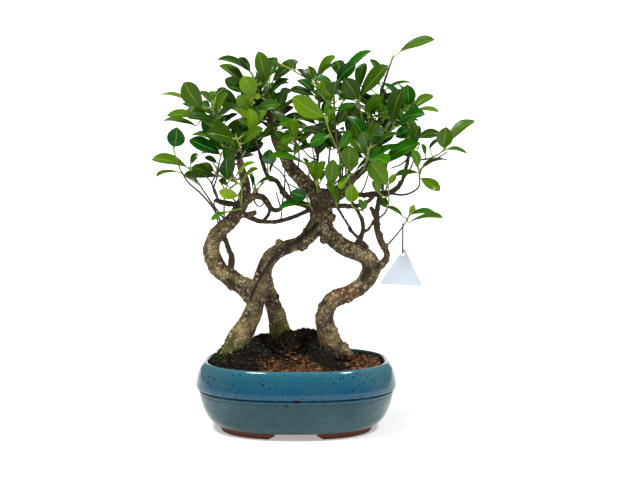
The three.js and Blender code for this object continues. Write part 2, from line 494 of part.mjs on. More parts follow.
const SPRAYS = {
  left_outer: {
    stems: [[[-108, 288, -14], [-116, 310, -18], [-134, 332, -20], [-151, 347, -20], [-161, 362, -20],
      [-167, 376, -20], [-172, 393, -20]]],
    leaves: [[-172, 399, -168, 424, 25, -20, -30], [-163, 362, -197, 358, 4, -20, -20]],
  },
  left_outer_low: {
    stems: [[[-96, 290, -6], [-107, 303, 5], [-117, 316, 5], [-131, 337, 4], [-141, 353, 2],
      [-149, 366, 0]]],
    leaves: [[-154, 370, -203, 381, 15, 0, -6], [-149, 374, -140, 390, 9, 0, 4],
      [-145, 369, -117, 366, 12, -2, -14]],
    fill: 1, turn: 1.2,
  },
  left_low: {
    stems: [[[-110, 323, -14], [-114, 336, -20], [-119, 347, -22], [-114, 358, -26], [-109, 374, -28],
      [-106, 386, -30]]],
    leaves: [[-116, 357, -147, 370, 14, -26, -8], [-107, 388, -150, 408, 19, -30, -8],
      [-112, 376, -128, 385, 8, -30, 10]],
  },
  left_shaded: {
    stems: [[[-72, 342, 0], [-83, 348, -16], [-93, 351, -28]], [[-84, 348, -18], [-92, 341, -28]]],
    leaves: [[-95, 353, -98, 382, 20, -32, -26], [-90, 362, -101, 396, 15, -26, -10],
      [-97, 344, -108, 353, 9, -28, 12]],
  },
  left_young: {
    stems: [[[-76, 308, -6], [-78, 318, -20], [-81, 328, -27]], [[-78, 318, -20], [-77, 334, -24],
      [-78, 344, -28]], [[-77, 312, -16], [-94, 308, -22]]],
    leaves: [[-83, 330, -109, 336, 15, -28, -14], [-78, 347, -55, 369, 5, -30, -12],
      [-87, 353, -60, 378, 4, -34, -10], [-96, 307, -120, 295, 7, -22, -10]],
  },
  left_tip_upper: {
    stems: [[[-84, 400, 9], [-96, 412, -4], [-106, 428, -14], [-112, 442, -20], [-117, 452, -24]]],
    leaves: [[-131, 453, -157, 488, 27, -26, -14], [-116, 456, -135, 477, 9, -28, 6],
      [-112, 458, -113, 477, 19, -20, 26], [-113, 468, -99, 482, 8, -16, 10],
      [-112, 441, -96, 474, 10, -22, -10], [-105, 442, -88, 461, 11, -12, 14]],
  },
  left_tip_front: {
    stems: [[[-82, 391, 8], [-92, 396, -16], [-102, 400, -34]]],
    leaves: [[-105, 402, -131, 437, 22, -38, -12], [-104, 402, -147, 417, 10, -36, 10],
      [-92, 399, -78, 414, 12, -22, -16]],
  },
  left_tip_rear: {
    stems: [[[-85, 408, 9], [-104, 420, 14], [-122, 430, 14], [-134, 436, 12]], [[-122, 430, 14],
      [-141, 452, 17]]],
    leaves: [[-136, 438, -181, 443, 11, 10, -6], [-123, 441, -154, 449, 13, 14, -16],
      [-141, 428, -186, 436, 8, 16, 6], [-149, 462, -189, 472, 5, 18, 8]],
    fill: 1, turn: 1.8,
  },
  left_bright: {
    stems: [[[-55, 400, -2], [-58, 415, -14], [-61, 432, -24], [-62, 450, -32], [-61, 464, -36]]],
    leaves: [[-62, 468, -73, 497, 24, -38, -10], [-60, 470, -50, 469, 8, -38, -6],
      [-63, 449, -82, 470, 18, -34, -16], [-62, 419, -65, 451, 15, -32, -24],
      [-57, 428, -41, 455, 11, -18, 6], [-66, 438, -84, 458, 14, -20, 12]],
  },
  left_top: {
    stems: [[[-37, 449, 20], [-40, 464, 10], [-40, 483, 0]]],
    leaves: [[-42, 490, -52, 531, 21, -4, -14], [-36, 497, -28, 520, 13, 6, 14],
      [-33, 490, 1, 519, 15, -2, -14], [-31, 484, -12, 491, 11, 8, 24], [-37, 469, -12, 494, 8, -2, -12]],
  },
  left_top_rear: {
    stems: [[[-36, 438, 20], [-46, 460, 24], [-55, 482, 24], [-60, 497, 22]]],
    leaves: [[-62, 501, -108, 523, 9, 22, -10], [-77, 491, -97, 512, 11, 18, 14],
      [-55, 492, -56, 503, 10, 28, 28]],
    fill: 1, turn: 2.4,
  },
  left_dark: {
    stems: [[[-35, 432, 20], [-30, 438, 2], [-27, 446, -8]], [[-31, 437, 6], [-25, 450, 4], [-24, 460, 6]]],
    leaves: [[-35, 448, -13, 432, 12, -12, -14], [-27, 441, -22, 461, 12, -8, -22],
      [-24, 466, -8, 480, 12, 4, 22]],
  },
  left_back_high: {
    stems: [[[-83, 396, 8], [-94, 406, 34], [-103, 424, 56], [-107, 440, 70]]],
    fill: 3, turn: 2.4,
  },
  left_back_low: {
    stems: [[[-78, 373, 6], [-90, 376, 34], [-98, 386, 58], [-106, 400, 76]]],
    fill: 3,
  },
  left_back_top: {
    stems: [[[-35, 428, 20], [-47, 444, 46], [-57, 464, 62], [-64, 478, 72]]],
    fill: 4,
  },
  left_back_inner: {
    stems: [[[-29, 408, 18], [-28, 424, 46], [-28, 446, 70]]],
    fill: 3, turn: 1.2,
  },
  left_front: {
    stems: [[[-79, 378, 6], [-76, 386, -24], [-80, 400, -46], [-84, 412, -60]]],
    fill: 3,
  },
  left_inner: {
    stems: [[[-80, 383, 7], [-74, 408, 24], [-74, 434, 34], [-80, 452, 42]]],
    fill: 3, turn: 2.4,
  },
  left_low_back: {
    stems: [[[-75, 357, 3], [-87, 352, 24], [-104, 356, 40], [-116, 364, 52]]],
    fill: 3, turn: 1.8,
  },
  left_round: {
    stems: [[[-42, 362, 8], [-40, 367, -6]]],
    leaves: [[-41, 375, -37, 394, 20, -8, -34], [-36, 364, -27, 382, 4, 0, 12]],
  },
  left_sickle: {
    stems: [[[-62, 328, -8], [-59, 340, -18]], [[-60, 335, -13], [-49, 345, -16]]],
    leaves: [[-57, 344, -31, 355, 5, -20, -8], [-62, 343, -66, 362, 6, -16, 10]],
  },
  middle_low: {
    stems: [[[26, 306, -4], [22, 311, -19], [18, 319, -27], [15, 326, -31]]],
    leaves: [[18, 317, -23, 313, 9, -26, -14], [14, 329, -7, 334, 18, -34, -26],
      [17, 330, 3, 315, 13, -32, -18]],
  },
  middle_left: {
    stems: [[[-9, 372, 13], [-3, 384, -6], [-1, 400, -16], [-1, 418, -22], [-2, 436, -26]]],
    leaves: [[-3, 391, -27, 399, 9, -18, -14], [-4, 415, -21, 404, 13, -26, -10],
      [-4, 437, -23, 430, 11, -30, -8], [-5, 402, -11, 428, 14, -22, -26], [3, 438, 45, 431, 7, -24, -10],
      [4, 403, 22, 418, 7, -18, -10]],
  },
  middle_narrow: {
    stems: [[[13, 350, 6], [18, 360, -15], [17, 370, -26]]],
    leaves: [[15, 373, -37, 386, 8, -28, -14], [18, 373, 10, 383, 5, -26, 6]],
  },
  middle_pair: {
    stems: [[[32, 328, -4], [30, 338, -23], [29, 346, -29]]],
    leaves: [[27, 349, 13, 378, 9, -31, -8], [30, 350, 41, 378, 11, -31, -12],
      [28, 352, 24, 380, 14, -28, 10], [35, 350, 40, 366, 10, -22, 16]],
  },
  middle_front: {
    stems: [[[44, 310, -6], [57, 314, -25], [54, 328, -33], [50, 342, -39]]],
    leaves: [[49, 345, 52, 380, 19, -41, -14], [56, 318, 43, 346, 8, -31, -20],
      [61, 319, 63, 341, 8, -26, -8], [53, 346, 65, 376, 11, -36, 14]],
  },
  middle_bright: {
    stems: [[[80, 355, -5], [77, 360, -24]]],
    leaves: [[76, 366, 75, 399, 27, -26, -18], [75, 362, 63, 350, 10, -25, -10],
      [84, 364, 148, 402, 9, -24, -30], [71, 366, 62, 386, 9, -20, 12]],
  },
  right_long: {
    stems: [[[98, 370, 2], [108, 372, -20], [120, 374, -34]]],
    leaves: [[125, 375, 173, 404, 19, -36, -18], [111, 377, 106, 397, 9, -24, -8],
      [122, 370, 124, 352, 12, -32, 20]],
  },
  right_olive: {
    stems: [[[115, 296, 3], [126, 306, -8], [131, 322, -18], [130, 341, -26]]],
    leaves: [[129, 345, 104, 376, 26, -28, -12], [131, 346, 140, 360, 9, -26, -4]],
  },
  right_under: {
    stems: [[[86, 310, -2], [80, 315, -14]], [[82, 313, -10], [92, 309, -18]]],
    leaves: [[77, 321, 78, 345, 19, -17, -24], [95, 310, 88, 324, 8, -22, -14],
      [97, 311, 99, 324, 7, -18, -10]],
  },
  right_round: {
    stems: [[[118, 328, 6], [121, 330, -6]]],
    leaves: [[121, 327, 126, 314, 11, -8, -14], [117, 334, 108, 350, 12, -8, -18]],
  },
  tag_twig: {
    stems: [[[126, 256, 3], [133, 264, 0], [142, 274, -3], [151, 286, -5], [157, 296, -6], [160, 302, -6]]],
    leaves: [[160, 305, 167, 316, 9, -6, -6], [162, 303, 198, 305, 8, -4, 16],
      [160, 292, 206, 299, 7, -9, -14], [150, 301, 126, 314, 6, -3, 10]],
    thin: true,
  },
  right_low: {
    stems: [[[131, 334, 7], [146, 331, 0], [160, 333, -6], [173, 342, -10], [174, 356, -12],
      [173, 367, -12]]],
    leaves: [[176, 354, 203, 338, 15, -13, -12], [172, 362, 139, 358, 8, -14, 10],
      [171, 369, 164, 394, 12, -14, -12], [178, 371, 213, 381, 5, -12, 14]],
  },
  right_far: {
    stems: [[[159, 388, 8], [172, 381, 2], [186, 382, -2], [198, 387, -4], [207, 393, -6]]],
    leaves: [[208, 397, 211, 425, 23, -7, -28], [214, 404, 250, 436, 15, -2, 8],
      [212, 395, 241, 389, 6, -8, 8], [188, 396, 210, 412, 5, 2, 14], [182, 388, 177, 402, 6, -2, -12]],
  },
  right_tip: {
    stems: [[[162, 402, 8], [163, 420, 2], [163, 436, -4], [161, 448, -8]]],
    leaves: [[157, 457, 156, 485, 21, -11, -16], [153, 456, 144, 487, 6, -12, 8],
      [152, 452, 119, 490, 9, -5, 12], [166, 453, 192, 471, 13, -6, 8], [167, 449, 200, 448, 6, -9, -8],
      [166, 440, 180, 444, 4, 0, 12], [159, 425, 141, 413, 17, -3, -24], [165, 408, 173, 427, 16, 2, -26]],
  },
  right_shoot: {
    stems: [[[117, 430, 21], [118, 462, 22], [122, 484, 21], [129, 505, 20], [135, 523, 20]]],
    leaves: [[145, 531, 193, 548, 13, 20, -8]],
  },
  right_high: {
    stems: [[[101, 375, 4], [97, 400, -8], [93, 432, -14], [88, 459, -22]]],
    leaves: [[90, 469, 128, 512, 20, -25, -14], [86, 465, 68, 494, 24, -26, -14],
      [89, 480, 95, 516, 16, -14, 12], [84, 458, 59, 448, 11, -25, -12], [90, 408, 82, 430, 23, -14, -28],
      [99, 409, 102, 426, 8, -10, -10]],
  },
  right_crown: {
    stems: [[[61, 340, -5], [62, 362, -28], [62, 382, -31], [58, 402, -31], [55, 425, -29],
      [54, 448, -27], [53, 475, -25], [58, 486, -20]], [[54, 450, -27], [44, 461, -33], [33, 475, -37],
      [20, 490, -37], [2, 502, -35], [-19, 513, -31]]],
    leaves: [[50, 464, 35, 491, 16, -29, -14], [57, 489, 83, 514, 18, -23, -14],
      [62, 452, 86, 466, 11, -29, -16], [63, 496, 57, 519, 19, -12, 20], [64, 493, 104, 533, 11, -16, 6],
      [50, 440, 32, 452, 8, -22, 16]],
  },
  right_prominent: {
    stems: [[[70, 346, -6], [69, 372, -42], [56, 400, -54], [47, 420, -58], [42, 437, -60]]],
    leaves: [[40, 441, -4, 468, 26, -62, -14], [44, 440, 47, 464, 6, -57, 6],
      [45, 415, 20, 403, 15, -58, -8], [60, 396, 76, 420, 15, -52, -6]],
  },
  middle_high: {
    stems: [[[25, 336, 4], [29, 372, 12], [33, 410, 16], [33, 445, 14], [31, 480, 8]]],
    leaves: [[31, 493, 54, 526, 12, 5, -10], [29, 489, 12, 507, 12, 8, 12],
      [26, 470, -8, 478, 11, 0, -14], [25, 474, 3, 493, 13, 18, 24], [36, 462, 46, 484, 12, 18, 12],
      [27, 440, 6, 452, 12, 10, -10]],
  },
  right_middle: {
    stems: [[[108, 388, 10], [106, 406, -3], [102, 426, -8], [102, 440, -13]], [[102, 428, -8],
      [119, 447, -2]]],
    leaves: [[98, 448, 118, 469, 14, -13, -16], [104, 440, 139, 437, 7, -13, -20],
      [118, 459, 145, 474, 8, -4, 8], [121, 447, 120, 459, 9, -18, -10], [127, 450, 152, 446, 17, 2, 24]],
  },
  right_back_low: {
    stems: [[[90, 363, -2], [102, 382, 32], [110, 408, 56], [114, 426, 72]]],
    fill: 3,
  },
  right_back_middle: {
    stems: [[[75, 350, -6], [74, 370, 30], [72, 396, 54], [68, 416, 70]]],
    fill: 4,
  },
  right_back_high: {
    stems: [[[115, 417, 18], [125, 424, 40], [132, 438, 54], [136, 452, 66]]],
    fill: 3, turn: 4.2,
  },
  middle_back: {
    stems: [[[36, 326, 0], [30, 352, 36], [26, 380, 58], [22, 402, 72]]],
    fill: 3,
  },
  right_back_outer: {
    stems: [[[150, 352, 6], [160, 366, 30], [168, 386, 46], [173, 400, 56]]],
    fill: 1, turn: 0.6,
  },
  middle_back_high: {
    stems: [[[44, 322, 0], [46, 380, 40], [52, 426, 50], [54, 460, 50]]],
    fill: 3,
  },
  right_back_under: {
    stems: [[[115, 312, 4], [124, 324, 26], [136, 336, 42]]],
    fill: 2, turn: 1.8,
  },
  right_front: {
    stems: [[[87, 360, -4], [94, 366, -38], [100, 382, -58], [104, 398, -68]]],
    fill: 3,
  },
  right_front_high: {
    stems: [[[113, 405, 15], [124, 412, -6], [134, 424, -26], [140, 438, -38]]],
    fill: 3, turn: 1.2,
  },
};
const TWIG_ROOT = 2.1;
const TWIG_TIP = 1.2;
const BUD = 1.8; // how far a twig's end stands past its last leaf

// Ways to bend a leaf clear of what grows near it: shifts of its tip in depth and height
const BENDS = [
  [0, 0], [-7, 0], [7, 0], [-14, 0], [14, 0], [-21, 5], [21, 5], [-28, -8], [28, -8], [-36, 12], [36, 12],
  [0, 20], [0, -20], [-46, 0], [46, 0], [-20, 26], [20, 26], [-20, -26], [20, -26], [-34, 34], [34, 34],
];

function closestOn(points, target) {
  let best = null;
  for (let i = 0; i + 1 < points.length; i += 1) {
    const segment = new THREE.Line3(points[i], points[i + 1]);
    const place = segment.closestPointToPoint(target, true, new THREE.Vector3());
    if (!best || place.distanceTo(target) < best.distanceTo(target)) best = place;
  }
  return best;
}

function closestAmong(routes, target) {
  return routes
    .map((points) => closestOn(points, target))
    .reduce((best, place) => (place.distanceTo(target) < best.distanceTo(target) ? place : best));
}

// Further leaves stand round the outer part of a twig, each turned on by the golden angle.
function ruleLeaf(points, k, count, seed, start) {
  const t = 0.3 + 0.7 * ((k + 0.5) / count);
  const span = t * (points.length - 1);
  const from = Math.min(Math.floor(span), points.length - 2);
  const place = points[from].clone().lerp(points[from + 1], span - from);
  const along = points[from + 1].clone().sub(points[from]).normalize();
  const side = new THREE.Vector3().crossVectors(along, new THREE.Vector3(0, 0, 1)).normalize();
  const other = new THREE.Vector3().crossVectors(side, along);
  const turn = GOLDEN_ANGLE * (k + seed) + start;
  const direction = side.multiplyScalar(Math.cos(turn)).addScaledVector(other, Math.sin(turn));
  direction.addScaledVector(along, 0.55 + 0.5 * (k / count)).add(new THREE.Vector3(0, 0, 0.25)).normalize();
  const length = LEAF_LENGTH * (0.82 + 0.3 * wobble(seed * 7 + k));
  const base = place.clone().addScaledVector(direction, PETIOLE);
  const tip = base.clone().addScaledVector(direction, length);
  return { base, tip, seenWidth: length * LEAF_RATIO * (0.35 + 0.65 * wobble(seed * 3 + k + 0.5)) };
}

function bent(leaf, [depth, height]) {
  const shift = new THREE.Vector3(0, depth, height);
  return {
    ...leaf,
    base: leaf.base.clone().addScaledVector(shift, 0.25),
    tip: leaf.tip.clone().add(shift),
  };
}

function boxOf(solid) {
  const { min, max } = solid.boundingBox();
  return new THREE.Box3(new THREE.Vector3(...min), new THREE.Vector3(...max));
}

function crosses(solid, box, others) {
  return others.some((other) => box.intersectsBox(other.box) && !solid.intersect(other.solid).isEmpty());
}

function withBox(solid) {
  return { solid, box: boxOf(solid) };
}

const woodRoutes = Object.values(LIMBS).map((route) => route.map(([a, u, d]) => at(a, u, d)));
const woodParts = Object.values(LIMBS).map((route) => withBox(limbSolid(route, 0)));
const woodGrown = Object.values(LIMBS).map((route) => withBox(limbSolid(route, GAP)));

function insideWood(point, margin) {
  return Object.values(LIMBS).some((route, r) => route.slice(1).some((end, i) => {
    const segment = new THREE.Line3(woodRoutes[r][i], woodRoutes[r][i + 1]);
    const t = segment.closestPointToPointParameter(point, true);
    const radius = THREE.MathUtils.lerp(route[i][3], end[3], t);
    return segment.at(t, new THREE.Vector3()).distanceTo(point) < radius + margin;
  }));
}

// The part of a twig that stands clear of the wood it grows from
function outerPart(points) {
  const [, ...rest] = points;
  const first = new THREE.Line3(points[0], points[1]);
  for (let t = 0; t < 0.95; t += 0.05) {
    const place = first.at(t, new THREE.Vector3());
    if (!insideWood(place, TWIG_ROOT + GAP)) return [place, ...rest];
  }
  return rest.length > 1 ? rest : points;
}

function makeTwigs() {
  const sprays = [];
  Object.entries(SPRAYS).forEach(([name, spray], number) => {
    const routes = [];
    const outer = [];
    spray.stems.forEach((stem, s) => {
      const points = stem.map(([across, up, depth]) => at(across, up, depth));
      points[0] = s === 0 ? closestAmong(woodRoutes, points[0]) : closestAmong(outer, points[0]);
      routes.push(points);
      outer.push(s === 0 ? outerPart(points) : points);
    });
    const thick = spray.thin ? 1.35 : TWIG_ROOT;
    const twigs = routes.map((points, s) => {
      const start = s === 0 ? thick : 1.4;
      const radii = points.map((_, i) => start + (TWIG_TIP - start) * (i / (points.length - 1)));
      const [before, end] = points.slice(-2);
      const bud = end.clone().addScaledVector(end.clone().sub(before).normalize(), BUD);
      return withBox(toSolid(limbGeometry([...points.slice(0, -1), bud], radii, 4)));
    });
    sprays.push({ name, number, spray, outer, twigs });
  });
  return sprays;
}

const CLEAR = 0.5; // what a leaf keeps between itself and its neighbours

function makeSprays() {
  const sprays = makeTwigs();
  const placed = [];
  const wanted = [];
  for (const entry of sprays) {
    for (const [ba, bu, ta, tu, seenWidth, depth, run] of entry.spray.leaves ?? []) {
      wanted.push({ entry, leaf: { base: at(ba, bu, depth), tip: at(ta, tu, depth + run), seenWidth } });
    }
  }
  for (const entry of sprays) {
    const count = entry.spray.fill ?? 0;
    for (let k = 0; k < count; k += 1) {
      const leaf = ruleLeaf(entry.outer[0], k, count, entry.number, entry.spray.turn ?? 0);
      wanted.push({ entry, leaf });
    }
  }
  for (const { entry, leaf } of wanted) {
    const otherTwigs = sprays.filter((spray) => spray !== entry).flatMap((spray) => spray.twigs);
    const otherLeaves = placed.filter((p) => p.entry !== entry).map((p) => p.whole);
    const ownBlades = placed.filter((p) => p.entry === entry).map((p) => p.blade);
    for (const bend of BENDS) {
      const trial = bent(leaf, bend);
      trial.root = closestAmong(entry.outer, trial.base);
      trial.frame = leafFrame(trial.base, trial.tip, trial.seenWidth);
      const whole = withBox(leafSolid(trial, CLEAR, 'root'));
      const blade = withBox(leafSolid(trial, CLEAR, 'blade'));
      if (crosses(whole.solid, whole.box, woodParts)) continue;
      if (crosses(whole.solid, whole.box, otherTwigs)) continue;
      if (crosses(whole.solid, whole.box, otherLeaves)) continue;
      if (crosses(blade.solid, blade.box, ownBlades)) continue;
      placed.push({
        entry,
        whole: withBox(leafSolid(trial, 0, 'root')),
        blade: withBox(leafSolid(trial, 0, 'blade')),
      });
      break;
    }
  }
  for (const entry of sprays) {
    const leaves = placed.filter((p) => p.entry === entry).map((p) => p.whole.solid);
    let solid = join([...entry.twigs.map((twig) => twig.solid), ...leaves]);
    const box = boxOf(solid);
    for (const limb of woodGrown) {
      if (box.intersectsBox(limb.box)) solid = solid.subtract(limb.solid);
    }
    addPiece(`spray_${entry.name}`, largestBody(solid), 'leaf');
  }
}

// Hang tag: a three-cornered card with round corners, held by a link of thin tie over the twig

function makeTag() {
  const hang = at(151, 286, -5);
  const linkTop = hang.z + TWIG_RISE;
  const linkBottom = at(151, 251, -5).z;
  const holeCentre = linkBottom - TIE_BEND + TIE_RADIUS + GAP - TAG_HOLE;
  const corners = [[2, 9], [-31, -44], [31, -44]];
  const round = 5;
  const shape = new THREE.Shape();
  corners.forEach(([x, y], i) => {
    const [px, py] = corners[(i + 2) % 3];
    const [nx, ny] = corners[(i + 1) % 3];
    const back = Math.hypot(px - x, py - y);
    const ahead = Math.hypot(nx - x, ny - y);
    const start = [x + ((px - x) * round) / back, y + ((py - y) * round) / back];
    const end = [x + ((nx - x) * round) / ahead, y + ((ny - y) * round) / ahead];
    if (i === 0) shape.moveTo(...start);
    else shape.lineTo(...start);
    shape.quadraticCurveTo(x, y, ...end);
  });
  const hole = new THREE.Path();
  hole.absarc(0, 0, TAG_HOLE, 0, Math.PI * 2, true);
  shape.holes.push(hole);
  const card = new THREE.ExtrudeGeometry(shape, {
    depth: TAG_THICKNESS,
    bevelEnabled: false,
    curveSegments: 5,
  });
  card.translate(0, 0, -TAG_THICKNESS / 2);
  card.rotateX(Math.PI / 2);
  card.rotateY(TAG_TURN);
  card.translate(hang.x, hang.y, holeCentre);
  addPiece('tag', toSolid(card), 'card');

  const link = new THREE.TorusGeometry(TIE_BEND, TIE_RADIUS, 5, 10);
  const place = link.attributes.position;
  for (let v = 0; v < place.count; v += 1) {
    if (place.getY(v) > 0.01) place.setY(v, place.getY(v) + linkTop - linkBottom);
  }
  link.rotateX(Math.PI / 2);
  link.rotateZ(Math.PI / 2);
  link.translate(hang.x, hang.y, linkBottom);
  addPiece('tag_tie', toSolid(link), 'tie');
}

// Screens over the drainage holes keep the soil in.
const SCREEN_SIZE = 34;
const SCREEN_THICKNESS = 1.2;
const SCREEN_PITCH = 6.5;
const SCREEN_OPENING = 9;

function boxSolid(width, depth, height, x, y, z) {
  const geometry = new THREE.BoxGeometry(width, depth, height);
  geometry.translate(x, y, z);
  return toSolid(geometry);
}

function screenRoom(x) {
  const size = SCREEN_SIZE + 2 * GAP;
  return boxSolid(size, size, 4, x, 0, FLOOR_TOP + GAP + SCREEN_THICKNESS + GAP - 2);
}

function screenSolid(x) {
  const middle = FLOOR_TOP + GAP + SCREEN_THICKNESS / 2;
  let screen = boxSolid(SCREEN_SIZE, SCREEN_SIZE, SCREEN_THICKNESS, x, 0, middle);
  for (const across of [-1, 1]) {
    for (const back of [-1, 1]) {
      const hole = boxSolid(
        SCREEN_OPENING,
        SCREEN_OPENING,
        3 * SCREEN_THICKNESS,
        x + across * SCREEN_PITCH,
        back * SCREEN_PITCH,
        middle,
      );
      screen = screen.subtract(hole);
    }
  }
  return screen;
}

// Assembly
addPiece('pot', makePot(), 'glaze');

let soil = soilBlock(0);
for (const limb of woodGrown) soil = soil.subtract(limb.solid);
for (const side of [-1, 1]) soil = soil.subtract(screenRoom(side * DRAIN_OFFSET));
addPiece('soil', soil, 'soil');
addPiece('drain_screen_left', screenSolid(-DRAIN_OFFSET), 'screen');
addPiece('drain_screen_right', screenSolid(DRAIN_OFFSET), 'screen');

const woodWhole = join(woodGrown.map((limb) => limb.solid));
addPiece('granules_front', makeDressing([-8, -56], [42, 29], 8, 3).subtract(woodWhole), 'granules');
addPiece('granules_right', makeDressing([94, -10], [20, 40], 6, 40).subtract(woodWhole), 'granules');
addPiece('trunk', join(woodParts.map((limb) => limb.solid)), 'bark');
makeSprays();
makeTag();

// The origin is the middle of the whole object's footprint, at the ground.
const bounds = new THREE.Box3().setFromObject(tree);
const middle = bounds.getCenter(new THREE.Vector3());
for (const mesh of tree.children) mesh.geometry.translate(-middle.x, -middle.y, -bounds.min.z);

export default tree;
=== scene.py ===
# %% [markdown]
# # A Chinese banyan bonsai in its glazed pot
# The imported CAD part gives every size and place. This script keeps those forms and makes them
# fine: leaves with a fold and veins, bark with lenticels, glaze, baked clay and moss.
# Lengths are millimetres measured from the middle of the pot, as in the part's source, until a
# piece is finished: then one matrix takes its mesh to metres in the frame.

# %% The frame
import math
import random

import bmesh
import bpy
from mathutils import Matrix, Vector, kdtree, noise


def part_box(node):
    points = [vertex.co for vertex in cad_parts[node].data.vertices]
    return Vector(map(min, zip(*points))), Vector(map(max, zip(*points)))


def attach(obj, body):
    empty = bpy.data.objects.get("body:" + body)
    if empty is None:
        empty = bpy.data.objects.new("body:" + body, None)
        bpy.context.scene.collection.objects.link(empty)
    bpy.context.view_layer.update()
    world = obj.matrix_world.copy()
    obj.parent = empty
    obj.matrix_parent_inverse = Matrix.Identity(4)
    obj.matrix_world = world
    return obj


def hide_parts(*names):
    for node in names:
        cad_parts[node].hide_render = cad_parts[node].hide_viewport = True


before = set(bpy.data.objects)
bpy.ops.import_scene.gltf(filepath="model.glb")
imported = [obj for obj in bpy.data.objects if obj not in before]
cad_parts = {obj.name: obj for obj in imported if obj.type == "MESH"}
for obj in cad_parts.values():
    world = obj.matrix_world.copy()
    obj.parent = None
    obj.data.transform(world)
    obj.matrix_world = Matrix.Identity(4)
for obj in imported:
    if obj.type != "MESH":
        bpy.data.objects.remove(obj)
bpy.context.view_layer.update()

# %% [markdown]
# ## Measures
# The pot's box says where its middle stands in the frame. Its feet reach a little below the level
# from which heights are counted. The routes of wood and twigs are given as they look from the
# front, from an eye before the pot, and `at` sets such a point back along its line of sight.

# %% Measures and the line of sight
MM = 0.001
FOOT_DROP = 1.5
EYE = Vector((23, -1800, 436))

pot_low, pot_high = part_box("pot")
MIDDLE = (pot_low + pot_high) / 2
MIDDLE.z = pot_low.z + FOOT_DROP * MM
TO_FRAME = Matrix.Translation(MIDDLE) @ Matrix.Scale(MM, 4)
TO_MILLIMETRES = TO_FRAME.inverted()


def at(across, up, depth):
    """The point that looks to be at (across, up) from the front, and stands at that depth."""
    spread = (depth - EYE.y) / -EYE.y
    return Vector((EYE.x + (across - EYE.x) * spread, depth, EYE.z + (up - EYE.z) * spread))


print("middle of the pot in the frame, in metres:", [round(v, 4) for v in MIDDLE])

# %% [markdown]
# ## Helpers for finishes
# A colour is written as its sRGB hex value, as a paint chart gives it, and turned to the linear
# value that a shader works with. A pattern's scale is worked out from the size of its grain in
# millimetres. One function adds a node, sets it and links it.

# %% Colour and nodes


def linear(code):
    """An sRGB hex colour as linear red, green, blue and alpha."""
    channels = [int(code[i:i + 2], 16) / 255 for i in (1, 3, 5)]
    return [c / 12.92 if c <= 0.04045 else ((c + 0.055) / 1.055) ** 2.4 for c in channels] + [1]


def per_metre(size):
    """A pattern's scale: how many grains of a size in millimetres fit in a metre."""
    return 1 / (size * MM)


def feed(material, node, inputs):
    """Gives inputs, by name or number, a value, an output, or a node whose first output they take."""
    for key, value in inputs.items():
        if isinstance(value, bpy.types.Node):
            value = value.outputs[0]
        if isinstance(value, bpy.types.NodeSocket):
            material.node_tree.links.new(value, node.inputs[key])
        else:
            node.inputs[key].default_value = value


def add(material, kind, inputs=None, stops=None, **settings):
    """Adds a node with its settings, its inputs and the stops of its colour ramp."""
    made = material.node_tree.nodes.new("ShaderNode" + kind)
    for name, value in settings.items():
        setattr(made, name, value)
    feed(material, made, inputs or {})
    for number, (place, colour) in enumerate(stops or []):
        elements = made.color_ramp.elements
        stop = elements[number] if number < len(elements) else elements.new(place)
        stop.position = place
        stop.color = linear(colour)
    return made


# %% Coats of colour and whole finishes


def painted(material, colour, *coats):
    """A colour with coats over it, each given as its share from 0 to 1 and its own colour."""
    for share, coat in coats:
        coat = linear(coat) if isinstance(coat, str) else coat
        colour = add(material, "Mix", {0: share, 6: colour, 7: coat}, data_type="RGBA").outputs[2]
    return colour


def new_finish(name):
    """A material, its shader, and the object coordinates that its patterns read."""
    material = bpy.data.materials.new(name)
    material.use_nodes = True
    shader = material.node_tree.nodes["Principled BSDF"]
    return material, shader, add(material, "TexCoord").outputs["Object"]


def grained_finish(name, size, detail, stops, values, depth=0, rough=0.5):
    """A finish with one noise: its grain in mm, its colours, the shader's values, its relief in mm."""
    material, shader, place = new_finish(name)
    grain = add(material, "TexNoise", {"Vector": place, "Scale": per_metre(size), "Detail": detail,
                                       "Roughness": rough})
    feed(material, shader, {"Base Color": add(material, "ValToRGB", {0: grain}, stops), **values})
    if depth:
        bump = add(material, "Bump", {"Height": grain, "Strength": 1, "Distance": depth * MM})
        feed(material, shader, {"Normal": bump})
    return material


# %% [markdown]
# ## Helpers for forms
# Most of a tree is rods that taper and bend. A grid rolled up round a route makes one: its seam is
# merged and its two ends are filled. The route is first drawn smoother, through its own points.

# %% Meshes and objects
MERGE = 1e-4  # corners of a form that are nearer than this are one


def mesh_of(name, bm):
    """The mesh of a bmesh, which is then freed."""
    mesh = bpy.data.meshes.new(name)
    bm.to_mesh(mesh)
    bm.free()
    return mesh


def into_scene(name, data):
    """An object with this mesh, light or camera, put in the scene."""
    made = bpy.data.objects.new(name, data)
    bpy.context.scene.collection.objects.link(made)
    return made


# %% Rods along smooth routes
STEEP = 0.9  # a route that starts off this much along Y measures its turns from X


def smooth_route(points, values, step):
    """A curve through the points, and their values along it, with a point about every step."""
    route, along = [], []
    for i in range(len(points) - 1):
        p0, p1, p2, p3 = (points[min(max(j, 0), len(points) - 1)] for j in range(i - 1, i + 3))
        parts = max(1, round((p2 - p1).length / step))
        for k in range(parts):
            t = k / parts
            curve = 2 * p1 + (p2 - p0) * t + (2 * p0 - 5 * p1 + 4 * p2 - p3) * t ** 2
            route.append((curve + (3 * p1 - 3 * p2 + p3 - p0) * t ** 3) / 2)
            along.append(values[i] + (values[i + 1] - values[i]) * t)
    return route + [points[-1].copy()], along + [values[-1]]


